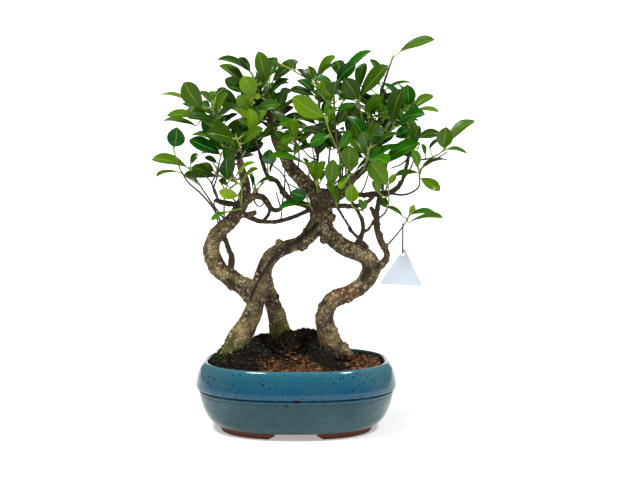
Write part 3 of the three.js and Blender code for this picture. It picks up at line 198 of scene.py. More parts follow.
def frames_along(route):
    """Two directions square to a route at each of its points, turned as little as can be."""
    frames = []
    side = Vector((0, 1, 0))
    for i in range(len(route)):
        ahead = (route[min(i + 1, len(route) - 1)] - route[max(i - 1, 0)]).normalized()
        if i == 0 and abs(ahead.y) > STEEP:
            side = Vector((1, 0, 0))
        side = (side - ahead * side.dot(ahead)).normalized()
        frames.append((side, side.cross(ahead)))
    return frames


def rod(bm, route, radii, sides):
    """Rolls a grid round a route and closes it. Gives the corners, each with its share of the way."""
    steps = len(route) - 1
    frames = frames_along(route)
    made = bmesh.ops.create_grid(bm, x_segments=sides, y_segments=steps, size=0.5)["verts"]
    shares = {}
    for corner in made:
        turn = (corner.co.x + 0.5) * math.tau
        step = round((corner.co.y + 0.5) * steps)
        side, other = frames[step]
        corner.co = route[step] + (side * math.cos(turn) + other * math.sin(turn)) * radii[step]
        shares[corner] = step / steps
    bmesh.ops.remove_doubles(bm, verts=made, dist=MERGE)
    kept = {corner: share for corner, share in shares.items() if corner.is_valid}
    rims = {edge for corner in kept for edge in corner.link_edges if edge.is_boundary}
    bmesh.ops.holes_fill(bm, edges=list(rims), sides=0)
    return kept


def gather(form, jobs, batch=60):
    """Makes many small forms in small lots, because an operator slows down in a large mesh."""
    whole = bmesh.new()
    for start in range(0, len(jobs), batch):
        lot = bmesh.new()
        for job in jobs[start:start + batch]:
            form(lot, *job)
        mesh = mesh_of("lot", lot)
        whole.from_mesh(mesh)
        bpy.data.meshes.remove(mesh)
    return whole


# %% [markdown]
# ## Finishing a piece
# A finished piece has its place in its mesh and its object at the origin, unturned and unscaled, so
# that patterns on object coordinates stay put. It rides on the part's one body, has its finishes,
# and hides the CAD nodes that it stands for.

# %% Finishing


def finish_piece(name, bm, finishes, stands_for, sharp=40):
    """Makes a piece of a bmesh drawn in millimetres."""
    bmesh.ops.recalc_face_normals(bm, faces=bm.faces)
    bm.transform(TO_FRAME)
    finish_mesh(name, mesh_of(name, bm), finishes, stands_for, sharp)


def finish_mesh(name, mesh, finishes, stands_for, sharp):
    """Puts a mesh that is already in the frame into the scene, and ties it to the part."""
    for finish in finishes:
        mesh.materials.append(finish)
    mesh.shade_smooth()
    mesh.set_sharp_from_angle(angle=math.radians(sharp))
    piece = into_scene(name, mesh)
    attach(piece, "root")
    if stands_for:
        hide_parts(*stands_for)
    print(f"{name}: {sum(len(face.vertices) - 2 for face in mesh.polygons)} triangles")


# %% [markdown]
# ## Glaze on stoneware
# The pot is stoneware, thrown or pressed, dipped in a copper-blue glaze and fired. The glaze lies
# thick and blue on the shoulder and in the bands, runs thin and grey-green on the belly and at the
# two ends, breaks pale on the rim, pools dark in the grooves and shows iron specks. The belly's
# colours are also darkened with painted shade, where the belly faces down. The feet stay bare. The
# colours follow the height, with a slow noise so that no line is ruled.

# %% The glaze
# Up to the grooves the thin grey-green glaze is also darkened with painted shade, where the belly faces
# down.
GLAZE_LINES = [
    (8, "#1e3a3d"), (24, "#19434a"), (48, "#1a414a"), (51.4, "#22434d"), (52.8, "#20505f"),
    (56, "#184d60"), (57.3, "#143947"), (58.6, "#054f70"), (66, "#0b4d6c"), (82, "#19566d"),
    (92, "#216177"), (95.8, "#41707e"),
]
GLAZE_TOP = 100
WAVER = 1.2  # how far a line strays up or down
THIN_ENDS = (105, 180)  # the glaze thins out from here to there, measured from the middle
ENDS_STRAY = 60
BARE_FEET = (6.2, 7.2)  # no glaze below the first height, all glaze above the second
CHIPPED = [((1, -105, 57.5), 1.8), ((5, -105, 57), 1.2), ((-13, -104.6, 51.5), 1.2)]
CHIP_STRAY = 2
CLOUD, DRIP, SPECK_CELL = 35.7143, 22.2222, 4.54545  # sizes
GLAZE_GRAIN, FIRED_GRAIN = 2.38095, 3.125
SPECK_REACH = 0.3  # radius of the largest speck, over the size of its cell
PEEL = 1.5  # relief of the orange peel


def make_glaze():
    """Fired glaze is glass: a hard gloss over colour that looks deeper wherever it pooled."""
    glaze, shader, place = new_finish("copper_blue_glaze_on_stoneware")
    spot = add(glaze, "SeparateXYZ", {0: place})
    slow = add(glaze, "TexNoise", {"Vector": place, "Scale": per_metre(DRIP), "Detail": 4})
    waver = add(glaze, "Math", {0: slow, 1: 2 * WAVER * MM, 2: -WAVER * MM},
                operation="MULTIPLY_ADD")
    wavy = add(glaze, "Math", {0: spot.outputs["Z"], 1: waver}, operation="ADD")
    level = add(glaze, "MapRange", {"Value": wavy, "From Min": MIDDLE.z,
                                    "From Max": MIDDLE.z + GLAZE_TOP * MM})
    lines = add(glaze, "ValToRGB", {0: level}, [(up / GLAZE_TOP, tint) for up, tint in GLAZE_LINES])
    clouds = add(glaze, "TexNoise", {"Vector": place, "Scale": per_metre(CLOUD), "Detail": 6,
                                     "Roughness": 0.65})
    pale = add(glaze, "MapRange", {"Value": clouds, "From Min": 0.42, "From Max": 0.72, "To Max": 0.5})
    across = add(glaze, "Math", {0: spot.outputs["X"], 1: MIDDLE.x}, operation="SUBTRACT")
    out = add(glaze, "Math", {0: across}, operation="ABSOLUTE")
    out = add(glaze, "Math", {0: clouds, 1: ENDS_STRAY * MM, 2: out}, operation="MULTIPLY_ADD")
    ends = add(glaze, "MapRange", {"Value": out, "From Min": THIN_ENDS[0] * MM,
                                   "From Max": THIN_ENDS[1] * MM, "To Max": 0.55})
    fine = add(glaze, "TexNoise", {"Vector": place, "Scale": per_metre(GLAZE_GRAIN), "Detail": 5})
    grain = add(glaze, "MapRange", {"Value": fine, "From Min": 0.5, "From Max": 0.68, "To Max": 0.45})
    specks = add(glaze, "TexVoronoi", {"Vector": place, "Scale": per_metre(SPECK_CELL)})
    chosen = add(glaze, "SeparateColor", {0: specks.outputs["Color"]})
    size = add(glaze, "MapRange", {"Value": chosen, "From Min": 0.55, "To Max": SPECK_REACH})
    speck = add(glaze, "Math", {0: specks.outputs["Distance"], 1: size}, operation="LESS_THAN")
    chips = 0
    for middle, reach in CHIPPED:
        away = add(glaze, "VectorMath", {0: place, 1: TO_FRAME @ Vector(middle)}, operation="DISTANCE")
        away = add(glaze, "Math", {0: slow, 1: -CHIP_STRAY * MM, 2: away.outputs["Value"]},
                   operation="MULTIPLY_ADD")
        chip_mark = add(glaze, "Math", {0: away, 1: reach * MM}, operation="LESS_THAN")
        chips = add(glaze, "Math", {0: chips, 1: chip_mark}, operation="MAXIMUM")
    fired = add(glaze, "TexNoise", {"Vector": place, "Scale": per_metre(FIRED_GRAIN), "Detail": 5})
    clay = add(glaze, "ValToRGB", {0: fired}, [(0.3, "#44200f"), (0.7, "#6c3a22")])
    bare = add(glaze, "MapRange", {"Value": wavy, "From Min": MIDDLE.z + BARE_FEET[0] * MM,
                                   "From Max": MIDDLE.z + BARE_FEET[1] * MM, "To Min": 1, "To Max": 0})
    colour = painted(glaze, lines, (pale, "#316066"), (ends, "#55716f"), (grain, "#15323c"),
                     (speck, "#120f10"), (chips, "#2b150d"), (bare, clay))
    rough = add(glaze, "MapRange", {"Value": bare, "To Min": 0.09, "To Max": 0.8})
    peel = add(glaze, "Bump", {"Height": slow, "Strength": 0.12, "Distance": PEEL * MM})
    feed(glaze, shader, {"Base Color": colour, "Roughness": rough, "Normal": peel, "IOR": 1.52,
                         "Specular IOR Level": 0.3})
    return glaze


GLAZE = make_glaze()
print("glaze:", len(GLAZE.node_tree.nodes), "nodes")

# %% [markdown]
# ## The pot
# A turned section stretched to an oval. The section is spun a full turn, and then every corner is
# pushed out by how much fuller than an ellipse the oval is. Two fine grooves cut the belly
# under the shoulder. Four curved feet and two drainage holes are joined and cut as solids.

# %% The pot's section and its oval
POT_OVAL = 0.76
POT_FULLNESS = 2.4
POT_BELLY = [
    (104, 5.5), (112, 6.6), (118, 9), (123, 13.6), (127, 19), (130.6, 26), (133.5, 33), (136, 41.2),
    (137.7, 48), (138.2, 50.6),
]
POT_GROOVES = [
    (138.3, 51), (137.8, 51.8), (138.7, 52.6), (139.3, 54.4), (139.4, 56.2), (138.8, 56.8),
    (137.9, 57.5), (139.2, 58.3),
]
POT_SHOULDER = [
    (141.6, 59.2), (142.6, 60.4), (142.9, 62), (142.8, 65.5), (142, 70), (140.8, 75.5), (139, 81.5),
    (137.2, 86.2), (134.5, 90.8), (131.2, 94.8), (129, 96.2), (127, 96.2), (125.4, 94.2),
]
POT_INSIDE = [(125.3, 80), (123, 60), (112, 44), (98, 13), (0, 13)]


def fullness(angle):
    """How much further out than an ellipse the oval runs, at a place round it."""
    across = abs(math.cos(angle)) ** POT_FULLNESS
    back = abs(math.sin(angle)) ** POT_FULLNESS
    return (across + back) ** (-1 / POT_FULLNESS)


def turned_oval(bm, profile, steps):
    """Spins a section of (radius, height) points and stretches it to the pot's oval."""
    corners = [bm.verts.new((radius, 0, height)) for radius, height in profile]
    edges = [bm.edges.new(pair) for pair in zip(corners, corners[1:])]
    bmesh.ops.spin(bm, geom=corners + edges, cent=(0, 0, 0), axis=(0, 0, 1), dvec=(0, 0, 0),
                   angle=math.tau, steps=steps, use_merge=True)
    bmesh.ops.remove_doubles(bm, verts=bm.verts, dist=MERGE)
    for corner in bm.verts:
        full = fullness(math.atan2(corner.co.y, corner.co.x))
        corner.co.x *= full
        corner.co.y *= full * POT_OVAL
    bmesh.ops.recalc_face_normals(bm, faces=bm.faces)


def rounded(points, step):
    """A section drawn smoother through its own points."""
    route, _ = smooth_route([Vector((r, 0, z)) for r, z in points], [0] * len(points), step)
    return [(point.x, point.z) for point in route]


# %% Feet, holes and the finished pot
FOOT_ARC = (0.25, 1.33)
FOOT_OUTER, FOOT_INNER = 113, 88
FOOT_TAPER = 0.8
FOOT_FLARE = (-5, 2)
FOOT_TOP = 8
FOOT_CUTS = 15
FOOT_BEVEL = 0.9
SHARP_TURN = 0.6  # edges that turn more than this, in radians, are rounded
DRAIN_OFFSET, DRAIN_RADIUS, DRAIN_SIDES = 58, 11, 40
FLOOR_TOP = 13
BELLY_STEP, SHOULDER_STEP = 2.5, 1.6
POT_STEPS = 168


def foot(bm, start, end):
    """A curved block under the edge of the body, with its edges rounded."""
    bmesh.ops.create_cube(bm, size=1)
    long_edges = [e for e in bm.edges if abs(e.verts[0].co.x - e.verts[1].co.x) > 0.5]
    bmesh.ops.subdivide_edges(bm, edges=long_edges, cuts=FOOT_CUTS, use_grid_fill=True)
    for corner in bm.verts:
        top = corner.co.z > 0
        flare_out, flare_in = (0, 0) if top else FOOT_FLARE
        angle = (start + end) / 2 + corner.co.x * (end - start) * (1 if top else FOOT_TAPER)
        outer = corner.co.y < 0
        radius = fullness(angle) * (FOOT_OUTER + flare_out if outer else FOOT_INNER + flare_in)
        corner.co = Vector((radius * math.cos(angle), POT_OVAL * radius * math.sin(angle),
                            FOOT_TOP if top else -FOOT_DROP))
    bmesh.ops.recalc_face_normals(bm, faces=bm.faces)
    sharp = [e for e in bm.edges
             if e.calc_face_angle(0) > SHARP_TURN and e.verts[0].co.z < FOOT_TOP]
    bmesh.ops.bevel(bm, geom=sharp, offset=FOOT_BEVEL, segments=3, profile=0.5, affect="EDGES",
                    material=-1)


def settled(helper):
    """The mesh of an object with its modifiers worked out. The object itself is removed."""
    depsgraph = bpy.context.evaluated_depsgraph_get()
    mesh = bpy.data.meshes.new_from_object(helper.evaluated_get(depsgraph))
    bpy.data.objects.remove(helper)
    return mesh


# %% The finished pot


def make_pot():
    """Joins the feet to the turned body and cuts the two holes."""
    bm = bmesh.new()
    section = rounded(POT_BELLY, BELLY_STEP) + POT_GROOVES + rounded(POT_SHOULDER, SHOULDER_STEP)
    turned_oval(bm, [(0, POT_BELLY[0][1]), *section, *POT_INSIDE], POT_STEPS)
    body = into_scene("pot_body", mesh_of("pot_body", bm))
    low, high = FOOT_ARC
    tools = []
    for start, end in [(-high, -low), (low - math.pi, high - math.pi), (low, high),
                       (math.pi - high, math.pi - low)]:
        bm = bmesh.new()
        foot(bm, start, end)
        tools.append((into_scene("foot", mesh_of("foot", bm)), "UNION"))
    for side in (-1, 1):
        bm = bmesh.new()
        bmesh.ops.create_cone(bm, cap_ends=True, segments=DRAIN_SIDES, radius1=DRAIN_RADIUS,
                              radius2=DRAIN_RADIUS, depth=FLOOR_TOP * 2,
                              matrix=Matrix.Translation((side * DRAIN_OFFSET, 0, FLOOR_TOP / 2)))
        tools.append((into_scene("drain", mesh_of("drain", bm)), "DIFFERENCE"))
    for tool, operation in tools:
        cut = body.modifiers.new(tool.name, "BOOLEAN")
        cut.operation = operation
        cut.object = tool
    mesh = settled(body)
    for tool, _ in tools:
        bpy.data.objects.remove(tool)
    mesh.transform(TO_FRAME)
    finish_mesh("glazed_pot", mesh, [GLAZE], ["pot"], sharp=50)


make_pot()

# %% [markdown]
# ## Soil
# The root ball stands above the rim round the trunks. Its top follows the mounds of the CAD soil,
# raised between the trunks, with lumps and crumbs from noise. Its colour runs from near-black peat
# and algae to brown.

# %% Soil
SOIL_EDGE = 88
SOIL_RADIUS = 125.1
SOIL_SIDE = [(0, 13.4), (97.5, 13.4), (112, 45), (122.6, 60.3)]
SOIL_RINGS, SOIL_STEPS = 46, 200
MOUND = 43
MOUNDS = [
    (1, (14, 40), (84, 56)), (0.86, (-44, 32), (74, 60)), (0.95, (-76, -12), (70, 66)),
    (0.93, (46, 2), (56, 56)), (0.14, (96, 20), (60, 70)), (1.04, (-12, 24), (62, 50)),
]
CRUMBS = [(2.2, 11), (1.3, 4.3)]  # height and size of its lumps and crumbs
SOIL_CRUMB, SOIL_RELIEF = 5.26316, 3
# Damp peat gives the eye near black without any shine, and crumbs with small shadows of their own.
SOIL = grained_finish("peat_and_clay_dust", SOIL_CRUMB, 8,
                      [(0.3, "#080605"), (0.5, "#17110d"), (0.62, "#2c2016"), (0.8, "#4f3d2b")],
                      {"Roughness": 0.97, "Specular IOR Level": 0.1}, depth=SOIL_RELIEF, rough=0.75)


def soil_level(x, y):
    """Height of the soil over a place, without its crumbs."""
    best = 0
    for share, (cx, cy), (rx, ry) in MOUNDS:
        distance = math.hypot((x - cx) / rx, (y - cy) / ry)
        best = max(best, share * math.cos(min(distance, 1) * math.pi / 2) ** 2)
    return SOIL_EDGE + MOUND * best


def crumbled(x, y):
    """Height of the soil with its lumps and crumbs."""
    level = soil_level(x, y)
    for height, size in CRUMBS:
        level += height * noise.noise(Vector((x, y, 0)) / size)
    return level


def make_soil():
    bm = bmesh.new()
    rings = [(SOIL_RADIUS * (1 - k / SOIL_RINGS), SOIL_EDGE) for k in range(SOIL_RINGS + 1)]
    turned_oval(bm, [*SOIL_SIDE, *rings], SOIL_STEPS)
    for corner in bm.verts:
        if corner.co.z > SOIL_EDGE - 1:
            corner.co.z = crumbled(corner.co.x, corner.co.y)
    finish_piece("root_ball_soil", bm, [SOIL], ["soil"])


make_soil()

# %% [markdown]
# ## Granules of baked clay
# Soft baked clay is broken and sieved, so a granule is an angular chip of a few millimetres with
# worn edges. A cube with its corners pulled about and its edges bevelled makes one. They are
# scattered by golden-angle turns in an oval, denser where the photograph shows them bare. Each
# chip takes its own shade, by chance, since clay bakes unevenly.

# %% Granules
GOLDEN_ANGLE = 2.39996
CLAY_GRAIN, CLAY_RELIEF = 1.42857, 0.8
CHIP_SHAPE = [(1, 1.5), (0.75, 1), (0.5, 0.8)]  # its length, width and height, over its size
CHIP_TILT, CHIP_TURN = 0.5, 3
CHIP_PULL = (0.7, 1.15)
WORN = 0.13  # bevel of an edge, over the granule's size
STRAY = 2  # how far a granule lies from its place in the pattern
SITS, HEAPED = 0.1, 2  # it is lifted by this share of its size, and by up to this much


def make_granule_finish(name, dark, middle, light):
    """Broken and sieved grains: dry and dull, each in a shade of its own."""
    clay, shader, place = new_finish(name)
    chance = add(clay, "NewGeometry").outputs["Random Per Island"]
    grain = add(clay, "TexNoise", {"Vector": place, "Scale": per_metre(CLAY_GRAIN), "Detail": 4})
    blend = add(clay, "Math", {0: chance, 1: 0.6, 2: grain}, operation="MULTIPLY_ADD")
    colour = add(clay, "ValToRGB", {0: blend}, [(0.52, dark), (0.8, middle), (1, light)])
    bump = add(clay, "Bump", {"Height": grain, "Strength": 0.8, "Distance": CLAY_RELIEF * MM})
    feed(clay, shader, {"Base Color": colour, "Normal": bump, "Roughness": 0.95,
                        "Specular IOR Level": 0.1})
    return clay


def chip(bm, place, size, dice):
    """One angular granule."""
    corners = bmesh.ops.create_cube(bm, size=1)["verts"]
    shape = Matrix.Diagonal([size * dice.uniform(*span) for span in CHIP_SHAPE])
    tilt = Matrix.Rotation(dice.uniform(-CHIP_TILT, CHIP_TILT), 3, "X")
    turn = tilt @ Matrix.Rotation(dice.uniform(0, CHIP_TURN), 3, "Z")
    for corner in corners:
        pulled = corner.co * dice.uniform(*CHIP_PULL)
        corner.co = place + turn @ (shape @ pulled)
    edges = list({edge for corner in corners for edge in corner.link_edges})
    bmesh.ops.bevel(bm, geom=edges, offset=size * WORN, segments=1, profile=0.5, affect="EDGES",
                    material=-1)


def in_pot(x, y, margin):
    """Whether a place is inside the soil's edge by a margin."""
    angle = math.atan2(y / POT_OVAL, x)
    return math.hypot(x, y / POT_OVAL) < fullness(angle) * SOIL_RADIUS - margin


def scattered(centre, reach, count, sizes, dice, keep):
    """Granules in an oval, turned on by the golden angle, each resting on the soil."""
    jobs = []
    for k in range(count):
        share = math.sqrt((k + 0.5) / count)
        turn = k * GOLDEN_ANGLE
        x = centre[0] + reach[0] * share * math.cos(turn) + dice.uniform(-STRAY, STRAY)
        y = centre[1] + reach[1] * share * math.sin(turn) + dice.uniform(-STRAY, STRAY)
        size = dice.uniform(*sizes)
        if in_pot(x, y, size) and keep(x, y):
            lift = size * SITS + dice.uniform(0, HEAPED)
            jobs.append((Vector((x, y, soil_level(x, y) + lift)), size, dice))
    return gather(chip, jobs)


# %% Where granules lie
VALLEY_FRONT, VALLEY_BACK = -92, 3
VALLEY_MIDDLE, VALLEY_HALF = -4, 54
VALLEY_TAPER = 0.6
EDGE_STRAY, EDGE_WAVE = 7, 9
RIGHT_PATCH = (94, -8), (26, 46)
GRIT_PATCH, GRIT_FROM = 16, -0.12
GRANULE_SEED = 11
SAND_LIFT = 2.5


def anywhere(x, y):
    """The whole of a patch."""
    return True


def in_valley(x, y):
    """Whether a place is in the tongue of clean granules between the trunks, wide at the front."""
    share = (y - VALLEY_FRONT) / (VALLEY_BACK - VALLEY_FRONT)
    edge = VALLEY_HALF * max(1 - share, 0) ** VALLEY_TAPER
    edge += EDGE_STRAY * noise.noise(Vector((x, y, 0)) / EDGE_WAVE)
    return 0 <= share <= 1 and abs(x - VALLEY_MIDDLE) < edge


def bare_clay(x, y):
    """Whether a place belongs to the clean granules."""
    (cx, cy), (rx, ry) = RIGHT_PATCH
    return in_valley(x, y) or math.hypot((x - cx) / rx, (y - cy) / ry) < 1


def covered(x, y):
    """Whether a place lies outside the clean granules."""
    return not bare_clay(x, y)


def rough_ground(x, y):
    """Where dirty grit lies between the moss."""
    return noise.noise(Vector((x, y, 5)) / GRIT_PATCH) > GRIT_FROM and covered(x, y)


CLEAN_CLAY = make_granule_finish("baked_clay_granules", "#150c06", "#4c341f", "#83623f")
DIRTY_CLAY = make_granule_finish("baked_clay_granules_stained", "#110d09", "#281c13", "#4a3625")
SAND = make_granule_finish("quartz_sand", "#3f3d39", "#6d6a63", "#a8a498")
PATCHES = {  # finish, node that it stands for, centre, reach, count, sizes, where, lift
    "clay_chips_front": (CLEAN_CLAY, ["granules_front"], (-8, -56), (44, 30), 170, (3.8, 7), anywhere, 0),
    "clay_chips_right": (CLEAN_CLAY, ["granules_right"], *RIGHT_PATCH, 230, (3.6, 7), anywhere, 0),
    "clay_chips_valley": (CLEAN_CLAY, [], (-6, -38), (64, 60), 460, (4.2, 7.8), in_valley, 0),
    "soil_grit": (DIRTY_CLAY, [], (0, 0), (118, 88), 700, (2.6, 6), rough_ground, 0),
    "pale_sand_grains": (SAND, [], (0, -10), (118, 84), 260, (0.6, 1.5), covered, SAND_LIFT),
}


def make_granules():
    dice = random.Random(GRANULE_SEED)
    for name, (finish, stands_for, centre, reach, count, sizes, keep, lift) in PATCHES.items():
        patch = scattered(centre, reach, count, sizes, dice, keep)
        bmesh.ops.translate(patch, verts=patch.verts, vec=(0, 0, lift))
        finish_piece(name, patch, [finish], stands_for)


make_granules()

# %% [markdown]
# ## The wood's routes
# The wood grew as one piece, from three stems to the branches. Each limb is a route of
# (across, up, depth, radius), repeated from the part's source. The thick ones are drawn
# together by a voxel remesh, so that forks flow into one another as wood does. The thin ones are
# rods sunk into them.

# %% Routes of the limbs
LIMBS = {
    "trunk_front_left": [
        (-94, 84, -20, 19), (-85, 117, -20, 18), (-77, 134, -18, 16), (-66, 153, -15, 13.8),
        (-58, 177, -12, 12.4), (-52, 203, -9, 12.4), (-45, 226, -8, 11.5), (-36, 243, -7, 10.7),
        (-21, 254, -6, 9.9), (-2, 260, -4, 9.8), (14, 269, -3, 10.5), (31, 291, 0, 13)],
    "trunk_rear": [
        (-16, 84, 38, 21), (-21, 118, 37, 18), (-25, 145, 31, 14.5), (-31, 168, 23, 12),
        (-38, 191, 11, 10.4), (-44, 215, -2, 8.5)],
    "branch_left": [
        (-60, 179, -8, 10.5), (-73, 197, -4, 12.5), (-90, 210, 0, 12.8), (-107, 223, 2, 12.7),
        (-117, 238, 1, 12), (-121, 253, -2, 11.6), (-116, 269, -4, 10.9), (-104, 284, -8, 10.4),
        (-90, 296, -8, 10), (-80, 312, -5, 9), (-73, 330, -2, 8.2), (-72, 346, 1, 7),
        (-77, 369, 5, 5.5), (-86, 411, 10, 3)],
    "trunk_right": [
        (58, 84, -8, 18), (51, 116, -8, 16.2), (43, 139, -8, 13.8), (40, 156, -8, 12.6),
        (46, 174, -8, 12.2), (59, 185, -7, 12), (75, 191, -6, 11.3), (91, 201, -3, 11.6),
        (102, 214, -2, 12.9), (106, 227, 0, 13.5), (102, 240, 0, 12.8), (90, 248, 0, 12),
        (74, 254, 1, 12), (59, 263, 2, 12), (47, 274, 2, 12), (38, 287, 1, 13)],
    "crown": [
        (35, 281, 0, 12.5), (34, 299, 0, 15), (36, 316, 0, 16.5), (37, 331, 0, 13), (38, 340, 0, 7)],
    "branch_up_left": [
        (33, 322, 0, 13), (23, 338, 4, 10.5), (11, 350, 8, 9.6), (0, 361, 12, 9.6),
        (-10, 373, 14, 8.4), (-18, 387, 16, 7.4), (-28, 406, 18, 6.4), (-35, 431, 20, 5.4),
        (-38, 451, 20, 3.2)],
    "branch_up_right": [
        (42, 318, -2, 10), (52, 331, -4, 8.6), (63, 341, -6, 7.4), (87, 360, -4, 5.2),
        (98, 370, 2, 4.6), (106, 383, 8, 4), (113, 403, 15, 3), (117, 432, 21, 2.1)],
    "branch_right": [
        (46, 316, 2, 7), (60, 327, 7, 5.4), (73, 334, 10, 4.8), (90, 331, 12, 4.2),
        (124, 333, 8, 4), (138, 337, 6, 3.8), (149, 350, 6, 3.2), (157, 378, 8, 2.6),
        (162, 405, 8, 2.1)],
    "branch_right_low": [
        (52, 316, -6, 4.5), (66, 315, -4, 3.2), (82, 315, 0, 2.8), (98, 319, 5, 2.8),
        (109, 329, 9, 2.8)],
    "bridge": [
        (-78, 306, -6, 5), (-66, 299, -9, 3.8), (-50, 293, -11, 2.9), (-28, 293, -12, 2.6),
        (-6, 299, -9, 2.6), (24, 312, -2, 3.4)],
    "hook": [
        (-75, 320, -4, 7), (-63, 328, -8, 5.6), (-51, 329, -8, 5), (-42, 322, -8, 4.6),
        (-36, 312, -8, 4.2), (-28, 309, -8, 3.8), (-20, 313, -8, 2.8)],
    "hook_return": [(-37, 314, -8, 3), (-39, 303, -9, 2.4), (-46, 295, -11, 2.4)],
    "dark_stub": [(-78, 316, -6, 5.5), (-90, 318, -11, 4), (-103, 320, -14, 3.8),
                  (-115, 324, -15, 2.8)],
    "branch_middle": [
        (26, 312, 6, 6), (8, 318, 11, 4.6), (-8, 324, 14, 4.2), (-19, 336, 15, 3.9),
        (-27, 350, 14, 3.6), (-39, 356, 10, 3.2), (-46, 372, 6, 2.7), (-55, 402, -2, 2)],
    "side_loop": [(-90, 210, -2, 6), (-93, 224, -6, 4.6), (-92, 243, -9, 3.9), (-97, 258, -9, 3.6),
                  (-103, 272, -7, 4.5)],
    "rising_right": [
        (106, 222, 0, 8), (119, 230, 2, 5.8), (128, 242, 3, 4.8), (126, 255, 3, 4.8),
        (119, 267, 3, 4.7), (114, 288, 3, 4.4), (115, 314, 4, 3.6), (118, 330, 6, 3)],
    "inner_right": [(84, 258, 0, 5), (92, 272, -3, 3.5), (95, 285, -4, 3.3), (91, 299, -4, 2.7),
                    (85, 311, -2, 2.2), (78, 322, 0, 1.8)],
    "cross_twig": [(58, 314, -10, 2.4), (68, 297, -10, 1.9), (80, 278, -9, 1.9), (92, 266, -6, 2),
                   (102, 256, -3, 2.6)],
    "link_twig": [(96, 279, -4, 2.4), (104, 284, -2, 1.9), (110, 295, 1, 2.4)],
    "stub_rising": [(113, 300, 3, 4.2), (109, 307, 1, 3.4), (105, 314, 0, 2.6)],
    "stub_left": [(-80, 304, -6, 6), (-68, 302, -11, 4.4), (-57, 307, -14, 2.8)],
    "knot_left": [(-121, 252, -4, 8), (-132, 255, -7, 5.4)],
    "knot_fork": [(-72, 203, -4, 7), (-68, 213, -4, 4.2)],
    "knot_under": [(6, 262, -4, 8), (12, 252, -5, 5.4)],
    "knot_right": [(72, 250, 0, 8), (63, 249, -5, 4.4)],
    "root_left": [(-82, 124, -22, 11), (-94, 116, -25, 8.4), (-102, 105, -27, 6.4), (-106, 92, -27, 6)],
    "root_right": [(52, 116, -9, 11), (66, 112, -11, 8.4), (76, 98, -13, 7.5)],
    "clinging_root": [
        (30, 290, -13, 2.6), (22, 280, -16.5, 2.6), (5, 267, -16.5, 2.4), (-13, 257, -18, 2.3),
        (-30, 243, -20, 2.3), (-41, 230, -21.5, 2.2), (-48, 217, -23, 2.1), (-55, 206, -24, 2),
        (-62, 192, -22.5, 1.8), (-66, 180, -20, 1.4)],
    "knot_top": [(-22, 256, -6, 7.5), (-26, 267, -9, 4)],
    "knot_arm": [(42, 276, -4, 8), (37, 263, -8, 4.4)],
    "knot_elbow": [(-112, 226, 0, 8), (-121, 220, -5, 4.6)],
    "knot_low_left": [(-88, 206, 0, 9), (-96, 198, -5, 5)],
    "knot_right_low": [(70, 190, -6, 9), (76, 178, -10, 5)],
    "knot_crown": [(44, 300, -6, 10), (54, 296, -10, 5)],
}
THICK_LIMB = 5.2  # a limb that starts thinner than this stays a plain rod
RING_STEP = 3.5


def placed_route(route):
    """A limb's points in space and its radii, drawn smooth."""
    points = [at(across, up, depth) for across, up, depth, _ in route]
    return smooth_route(points, [radius for *_, radius in route], RING_STEP)


WOOD = {name: placed_route(route) for name, route in LIMBS.items()}
print("limbs:", len(WOOD))

# %% [markdown]
# ## Bark
# Banyan bark is smooth and grey-brown, in slow patches of dark and pale. It breathes through
# lenticels: pale corky dashes that run across the limb, thick in some patches and sparse in others.
# To let them follow each limb, every corner of the wood is given its place on the unrolled limb.
# Noise stretched in that space gives the dashes. Old bark low down is tinged green by algae, the
# young wood in the crown is darker, one bend is rusty where bark was rubbed, and old cuts are dark.
# The under side of each limb is darkened with painted shade.

# %% Bark
BARK_PATCH, ALGAE_PATCH, LENTICEL_PATCH, BARK_GRAIN = 23.8095, 13.3333, 16.6667, 2.38095
LENTICELS = [(2.17391, 0.26, 0.46), (1.6129, 0.3, 0.5)]  # size, height over width, largest reach
RUSTY, RUSTY_REACH = (68, 196, -12), 34
BARK_DEPTH = 1.3


def lenticels(bark, grain, size, flat, reach):
    """Pale dashes that run across a limb, from 0 to 1. flat is their height over their width."""
    stretched = add(bark, "Mapping", {"Vector": grain, "Scale": (flat, flat, 1)})
    spots = add(bark, "TexVoronoi", {"Vector": stretched, "Scale": per_metre(size), "Randomness": 0.95})
    chance = add(bark, "SeparateColor", {0: spots.outputs["Color"]})
    size = add(bark, "MapRange", {"Value": chance, "From Min": 0.25, "To Max": reach})
    inside = add(bark, "Math", {0: size, 1: spots.outputs["Distance"]}, operation="SUBTRACT")
    return add(bark, "MapRange", {"Value": inside, "From Max": 0.05})


